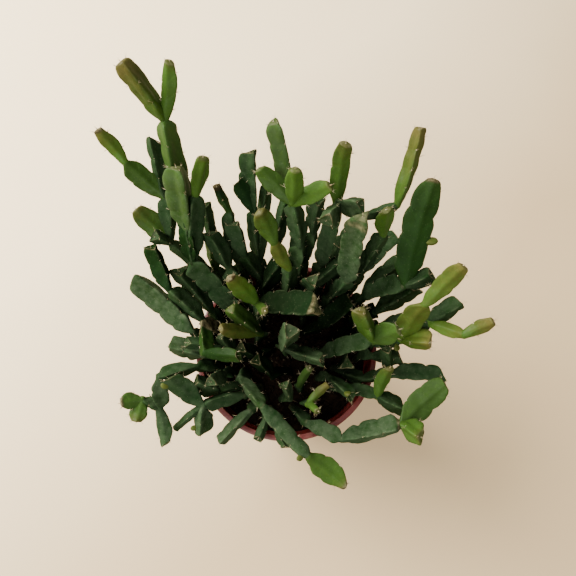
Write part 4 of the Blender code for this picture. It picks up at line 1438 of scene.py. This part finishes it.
@dataclass
class Stem:
    """One rooted stem: its segments, buds, areoles and bristles. Lengths are in mm."""
    name: str
    skeleton: Skeleton
    frames: Array
    finishes: Sequence[bpy.types.Material]
    chance: random.Random
    areole_radius: float = 0.38
    old_areole: float = 0.62
    bristle_radius: float = 0.065
    bristle_lengths: tuple[float, float] = (1.0, 3.4)
    bristle_lean: float = 0.75
    dent: float = 0.42
    wrinkle: float = 0.12
    bud_age: float = 0.08
    bud_width: float = 0.34
    bud_flatness: float = 0.62
    bud_rib: float = 0.14
    bud_taper: float = 0.12
    bud_scar: float = 1.6
    bud_scar_from: float = 0.75
    bare_foot: float = 8.0
    forms: list[SegmentForm] = field(default_factory=list)

    def runs(self) -> list[list[int]]:
        """Gather the stem's segments run by run.

        Returns:
            Lists of their numbers.
        """
        runs: dict[int, list[int]] = {}
        for number, segment in enumerate(self.skeleton.segments):
            if segment.stem == self.name:
                runs.setdefault(segment.run, []).append(number)
        return list(runs.values())

    def start(self, first: SegmentForm) -> tuple[Array, Array]:
        """The beginning of a run: a foot in the soil, or a neck sunk in the segment that bears it.

        Args:
            first: the run's first segment.

        Returns:
            The rings before it, and the directions of the last ring's points.
        """
        if first.rooted:
            turn = math.pi / 2 + math.tau * np.arange(POINTS) / POINTS
            circle = np.stack((np.cos(turn), np.sin(turn), np.zeros(POINTS)), axis=1)
            bottom = FOOT_RISE + FOOT_DEPTH
            drops = ((bottom, 0.0), (bottom, 0.7), (bottom - 0.6, 1.0), (bottom / 2, 1.0),
                     (FOOT_RISE + 1, 1.02), (FOOT_RISE - FOOT_STRAIGHT, 1.0))
            rings = [first.near + circle * FOOT_RADIUS * size - [0, 0, drop] for drop, size in drops]
            return np.array(rings), circle
        circle = first.circle()
        sunk = ((SINK + 0.1, 0.0), (SINK, 0.6), (SINK * 0.8, 0.85), (SINK * 0.4, NECK_SLIM))
        rings = [first.near + circle * NECK * size - first.axis * drop for drop, size in sunk]
        return np.array(rings), circle

    def add_run(self, bm: bmesh.types.BMesh, numbers: list[int]) -> None:
        """Add the tube of one run, and keep the forms of its segments.

        Args:
            bm: the stem's mesh.
            numbers: the run's segments.
        """
        axes = self.frames[0][numbers]
        rooted = self.skeleton.segments[numbers[0]].near == self.skeleton.roots[self.name]
        before = np.array([0.0, 0.0, 1.0]) if rooted else axes[0]
        rows, carried, circle = [], [], np.zeros((POINTS, 3))
        for axis, after, number in zip(axes, [*axes[1:], None], numbers):
            high = axis if after is None else unit(axis + after)
            index = len(self.forms)
            tone = TONES[(STEMS[self.name][0] or "o" * (index + 1))[index]]
            place = (self.name, index)
            tip = TIPS.get(place, Tip.BLUNT if tone.is_tender else Tip.CUT)
            form = SegmentForm(
                self.skeleton, number, self.frames[:, number], tone, tip.value, unit(before + axis), high,
                self.chance, SIZES.get(place, 1.0), CORK.get(place))
            grown, facts = form.build()
            if number == numbers[0]:
                first, circle = self.start(form)
                rows.append(first)
                carried.append(np.repeat(facts[:1], len(first), axis=0))
            spokes = form.circle()
            turn = max(range(POINTS), key=lambda k: float((np.roll(spokes, -k, axis=0) * circle).sum()))
            if number != numbers[0] or not rooted:
                rows.append(np.roll(form.neck(), -turn, axis=0)[None])
                carried.append(facts[:1])
            rows.append(np.roll(grown, -turn, axis=1))
            carried.append(np.roll(facts, -turn, axis=1))
            circle, before = np.roll(spokes, -turn, axis=0), axis
            self.forms.append(form)
        add_tube(bm, np.concatenate(rows), np.concatenate(carried))

    def add_bud(self, bm: bmesh.types.BMesh, base: Array, way: Array, length: float) -> None:
        """Add a bud: an egg with three low ribs and a scarred tip.

        Args:
            bm: the stem's mesh.
            base: where it stands, in mm.
            way: the way it points.
            length: its length, in mm.
        """
        wide = length * self.bud_width
        place = Matrix.Translation(Vector(base + way * length * 0.4) * MM) @ upright(way)
        place = place @ Matrix.Diagonal((wide * MM, wide * self.bud_flatness * MM, length / 2 * MM, 1.0))
        made = bmesh.ops.create_uvsphere(bm, u_segments=16, v_segments=12, radius=1.0, matrix=place)
        back = place.inverted()
        for vertex in made["verts"]:
            near = back @ vertex.co
            ribs = 1.0 + self.bud_rib * math.cos(3 * math.atan2(near.y, near.x)) + self.bud_taper * near.z
            near.x, near.y = near.x * ribs, near.y * ribs
            vertex.co = place @ near
            scar = self.bud_scar * max(0.0, near.z - self.bud_scar_from)
            # The last fact is the painted shade of the plant at the bud
            facts = (self.bud_age, 0.3, scar, self.bud_age * 0.5, 0.4, 0.5, float(canopy(base)))
            for name, fact in zip(LAYERS, facts):
                vertex[bm.verts.layers.float[name]] = fact

    def add_areole(self, bm: bmesh.types.BMesh, place: Array, way: Array, tender: bool) -> None:
        """Add one areole: a small woolly cushion with a few bristles.

        Args:
            bm: the mesh of the wool.
            place: where it sits, in mm.
            way: the way it points.
            tender: whether it sits on a young segment, and is larger and hairier.
        """
        draw = self.chance.uniform
        radius = self.areole_radius * draw(0.6, 1.15) * (1.0 if tender else self.old_areole) * MM
        where = Matrix.Translation(Vector(place) * MM) @ upright(way)
        made = bmesh.ops.create_icosphere(bm, subdivisions=1, radius=radius,
                                          matrix=where @ Matrix.Diagonal((1, 1, 0.6, 1)))["verts"]
        for _ in range(self.chance.randint(3, 8) if tender else self.chance.randint(1, 5)):
            length = draw(*self.bristle_lengths) * MM
            lean = Matrix.Rotation(draw(0, self.bristle_lean), 4, "X")
            spin = Matrix.Rotation(draw(0, math.tau), 4, "Z")
            stand = where @ spin @ lean @ Matrix.Translation((0, 0, length / 2))
            made += bmesh.ops.create_cone(bm, cap_ends=True, segments=3, radius1=self.bristle_radius * MM,
                                          radius2=0.0, depth=length, matrix=stand)["verts"]
        # The wool carries the painted shade of the plant at the areole
        shade = float(canopy(place))
        for vertex in made:
            vertex[bm.verts.layers.float["inner"]] = shade

    def make(self) -> bpy.types.Object:
        """Build the stem's piece.

        Returns:
            Its object.
        """
        bm, wool = bmesh.new(), bmesh.new()
        for layer in LAYERS:
            bm.verts.layers.float.new(layer)
        for run in self.runs():
            self.add_run(bm, run)
        add_relief(bm, self.dent, self.wrinkle)
        for stem, piece, along, way, length in BUDS:
            if stem == self.name:
                way = unit(np.array(way, dtype=float))
                self.add_bud(bm, self.forms[piece].margin(along, way), way, length)
        wool.verts.layers.float.new("inner")
        for form in self.forms:
            for place, way in form.areoles():
                if not form.rooted or place[2] > SOIL_TOP + self.bare_foot:
                    self.add_areole(wool, place, way, form.tone.is_tender)
        for face in wool.faces:
            face.material_index = 1
        join(bm, wool)
        return finish_piece(bm, self.name + "_stem", self.finishes, "stem_" + self.name)


def upright(way: Array) -> Matrix:
    """The turn that brings +Z to a direction."""
    return Vector(way).to_track_quat("Z", "Y").to_matrix().to_4x4()


@dataclass
class Plant:
    """All the stems."""
    skin: SkinFinish = SkinFinish()
    wool: WoolFinish = WoolFinish()

    def make(self) -> list[bpy.types.Object]:
        """Part the skeleton as in the frame and build every stem on it.

        Returns:
            The stems' objects.
        """
        skeleton = Skeleton()
        Parting(skeleton).run()
        skeleton.lean()
        for stem, index, place in SPLITS:
            skeleton.split(stem, index, place)
        finishes, frames = [self.skin.make(), self.wool.make()], skeleton.frames()
        return [Stem(name, skeleton, frames, finishes, random.Random(SEED + number)).make()
                for number, name in enumerate(STEMS)]


@dataclass
class PlantPot:
    """The thin plastic pot, turned round its axis, with drain holes in its floor. Sizes in mm."""
    lip_depth: float = 1.9
    wall: float = 1.4
    base_radius: float = 36.0
    foot_ring: float = 31.0
    collar_height: float = 12.0
    collar_step: float = 1.7
    ring_places: tuple[float, float] = (0.93, 0.87)
    ring_rise: float = 0.35
    ring_half: float = 0.7
    rounding: float = 0.45
    steps: int = 180
    drain_holes: int = 6
    drain_radius: float = 3.5
    drain_ring: float = 25.0
    finish: PlasticFinish = PlasticFinish()

    def wall_radius(self, z: float) -> float:
        """Measure the inside of the wall.

        Args:
            z: a height.

        Returns:
            Its radius there.
        """
        top = RIM_RADIUS - LIP_WIDTH - self.wall - self.collar_step
        foot = self.base_radius - self.wall
        return foot + (top - foot) * z / (RIM_HEIGHT - self.collar_height)

    def profile(self) -> list[tuple[float, float]]:
        """Draw half of the pot's section.

        Returns:
            (radius, height) of its points, from the middle of the floor over the lip to the underside.
        """
        step = RIM_HEIGHT - self.collar_height
        collar = RIM_RADIUS - LIP_WIDTH
        under = RIM_HEIGHT - self.lip_depth
        inside = [(0, self.wall), (self.wall_radius(self.wall), self.wall), (self.wall_radius(step), step),
                  (collar - 1.0, step + self.collar_step), (collar - 0.2, RIM_HEIGHT)]
        lip = [(RIM_RADIUS, RIM_HEIGHT), (RIM_RADIUS, under), (collar + self.wall, under - 0.3)]
        outside = [(collar + 0.6, step + 0.6), (self.wall_radius(step) + self.wall, step - 0.6)]
        for ring in self.ring_places:
            z = step * ring
            radius = self.wall_radius(z) + self.wall
            outside += [(radius, z + self.ring_half), (radius + self.ring_rise, z),
                        (radius, z - self.ring_half)]
        foot = [(self.base_radius, 0), (self.foot_ring, 0), (self.foot_ring - 0.8, 0.4), (0, 0.4)]
        return inside + lip + outside + foot

    def make(self) -> bpy.types.Object:
        """Build the pot's piece.

        Returns:
            Its object.
        """
        bm = lathe(self.profile(), self.steps, self.rounding)
        pot = finish_piece(bm, "nursery_pot", [self.finish.make()], "pot")
        self.drill(pot)
        return pot

    def drill(self, pot: bpy.types.Object) -> None:
        """Cut the drain holes out of the floor.

        Args:
            pot: the pot's object.
        """
        bm = bmesh.new()
        for number in range(self.drain_holes):
            angle = math.tau * (number + 0.5) / self.drain_holes
            place = Matrix.Translation((self.drain_ring * math.cos(angle) * MM,
                                        self.drain_ring * math.sin(angle) * MM, self.wall / 2 * MM))
            bmesh.ops.create_cone(bm, cap_ends=True, segments=32, radius1=self.drain_radius * MM,
                                  radius2=self.drain_radius * MM, depth=4 * self.wall * MM, matrix=place)
        drills = put_in_scene("drills", to_mesh(bm, "drills"))
        cut = pot.modifiers.new("drain_holes", "BOOLEAN")
        cut.operation, cut.solver, cut.object = "DIFFERENCE", "EXACT", drills
        bpy.context.view_layer.update()
        graph = bpy.context.evaluated_depsgraph_get()
        finished = bpy.data.meshes.new_from_object(pot.evaluated_get(graph))
        pot.modifiers.clear()
        pot.data = finished
        bpy.data.objects.remove(drills)


@dataclass
class Soil:
    """The soil that fills the pot: a lumpy surface with crumbs on it. Sizes in mm."""
    foot: float = 33.6
    floor: float = 1.8
    rings: int = 62
    steps: int = 200
    handfuls: int = 12
    crumbs: int = 75
    crumb_sizes: tuple[float, float] = (0.35, 1.7)
    broad_rise: float = 0.7
    ripple_rise: float = 0.4
    lump_rise: float = 0.9
    finish: SoilFinish = SoilFinish()

    def height(self, x: float, y: float) -> float:
        """Work out how high the soil stands.

        Args:
            x: how far to the right.
            y: how far to the back.

        Returns:
            Its height there.
        """
        broad = (self.broad_rise * math.sin(x / 7.0) * math.cos(y / 9.0 + 1.0)
                 + self.ripple_rise * math.sin(x / 4.0 + y / 5.0))
        lumps = noise.noise(Vector((x / 2.6, y / 2.6, 3.0))) + 0.5 * noise.noise(Vector((x, y, 9.0)))
        return SOIL_TOP + broad + self.lump_rise * lumps

    def make(self) -> bpy.types.Object:
        """Build the soil's piece.

        Returns:
            Its object.
        """
        profile = [(SOIL_EDGE * k / self.rings, SOIL_TOP) for k in range(self.rings + 1)]
        profile += [(SOIL_EDGE - 0.1, SOIL_TOP - 2.5), (self.foot, self.floor), (0, self.floor)]
        bm = lathe(profile, self.steps)
        for vertex in bm.verts:
            if vertex.co.z > (SOIL_TOP - 1) * MM:
                vertex.co.z = self.height(vertex.co.x / MM, vertex.co.y / MM) * MM
        for handful in range(self.handfuls):
            join(bm, self.scatter(random.Random(SEED + handful)))
        return finish_piece(bm, "pot_soil", [self.finish.make()], "soil")

    def scatter(self, chance: random.Random) -> bmesh.types.BMesh:
        """Scatter a handful of crumbs on the surface, half sunk in it.

        Args:
            chance: where their places and sizes are drawn from.

        Returns:
            Their mesh.
        """
        bm = bmesh.new()
        for _ in range(self.crumbs):
            size = chance.uniform(*self.crumb_sizes) ** 1.5
            radius = (SOIL_EDGE - 1 - size) * math.sqrt(chance.random())
            angle = chance.uniform(0, math.tau)
            x, y = radius * math.cos(angle), radius * math.sin(angle)
            place = Matrix.Translation(Vector((x, y, self.height(x, y) + size * 0.2)) * MM)
            spin = Matrix.Rotation(chance.uniform(0, math.tau), 4, Vector((1, chance.random(), 1)))
            stretch = Matrix.Diagonal([size * chance.uniform(0.55, 1.1) * MM for _ in range(3)] + [1])
            bmesh.ops.create_icosphere(bm, subdivisions=1, radius=1.0, matrix=place @ spin @ stretch)
        return bm


@dataclass
class Studio:
    """The plain floor, the soft lights and the camera. Sizes in metres, angles in degrees."""
    floor_size: float = 6.0
    lit_place: Triple = (0.0, 0.0, 0.12)
    camera_place: Triple = (0.0009, -0.0638, 0.3407)
    camera_tilt: float = 21.8
    camera_lens: float = 27.5
    world_colour: Triple = (1.0, 0.985, 0.96)
    world_strength: float = 0.66
    sensor_width: float = 36.0
    nearest_seen: float = 0.01
    window: tuple[Triple, float, float, Triple] = ((-0.93, 0.51, 0.84), 1.05, 86.0, (1.0, 0.975, 0.93))
    fill: tuple[Triple, float, float, Triple] = ((-0.30, -0.95, 1.1), 1.3, 31.0, (0.98, 0.99, 1.0))
    floor_finish: FloorFinish = FloorFinish()

    def area(self, name: str, place: Triple, size: float, power: float, colour: Triple) -> None:
        """Hang a square soft light that faces the plant.

        Args:
            name: its name.
            place: where it hangs.
            size: its width.
            power: its power in watts.
            colour: its colour.
        """
        light = bpy.data.lights.new(name, "AREA")
        light.size, light.energy, light.color = size, power, colour
        thing = put_in_scene(name, light)
        thing.location = place
        thing.rotation_euler = (Vector(self.lit_place) - Vector(place)).to_track_quat("-Z", "Y").to_euler()

    def make(self) -> None:
        """Lay the floor, hang the lights and set up the camera."""
        bm = bmesh.new()
        bmesh.ops.create_grid(bm, x_segments=1, y_segments=1, size=self.floor_size / 2)
        floor = put_in_scene("floor", to_mesh(bm, "floor"))
        floor.data.materials.append(self.floor_finish.make())
        world = bpy.data.worlds.new("soft_room")
        world.use_nodes = True
        sky = world.node_tree.nodes["Background"]
        sky.inputs["Color"].default_value = (*self.world_colour, 1.0)
        sky.inputs["Strength"].default_value = self.world_strength
        bpy.context.scene.world = world
        self.area("window", *self.window)
        self.area("fill", *self.fill)
        lens = bpy.data.cameras.new("camera")
        lens.lens, lens.sensor_width = self.camera_lens, self.sensor_width
        lens.clip_start = self.nearest_seen
        camera = put_in_scene("camera", lens)
        camera.location = self.camera_place
        camera.rotation_euler = (math.radians(self.camera_tilt), 0, 0)
        bpy.context.scene.camera = camera


def main() -> None:
    """Build the studio, the pot, the soil and the plant."""
    logging.basicConfig(level=logging.INFO, format="%(message)s")
    Studio().make()
    PlantPot().make()
    Soil().make()
    stems = Plant().make()
    LOG.info("%d stems", len(stems))


if __name__ == "__main__":
    main()
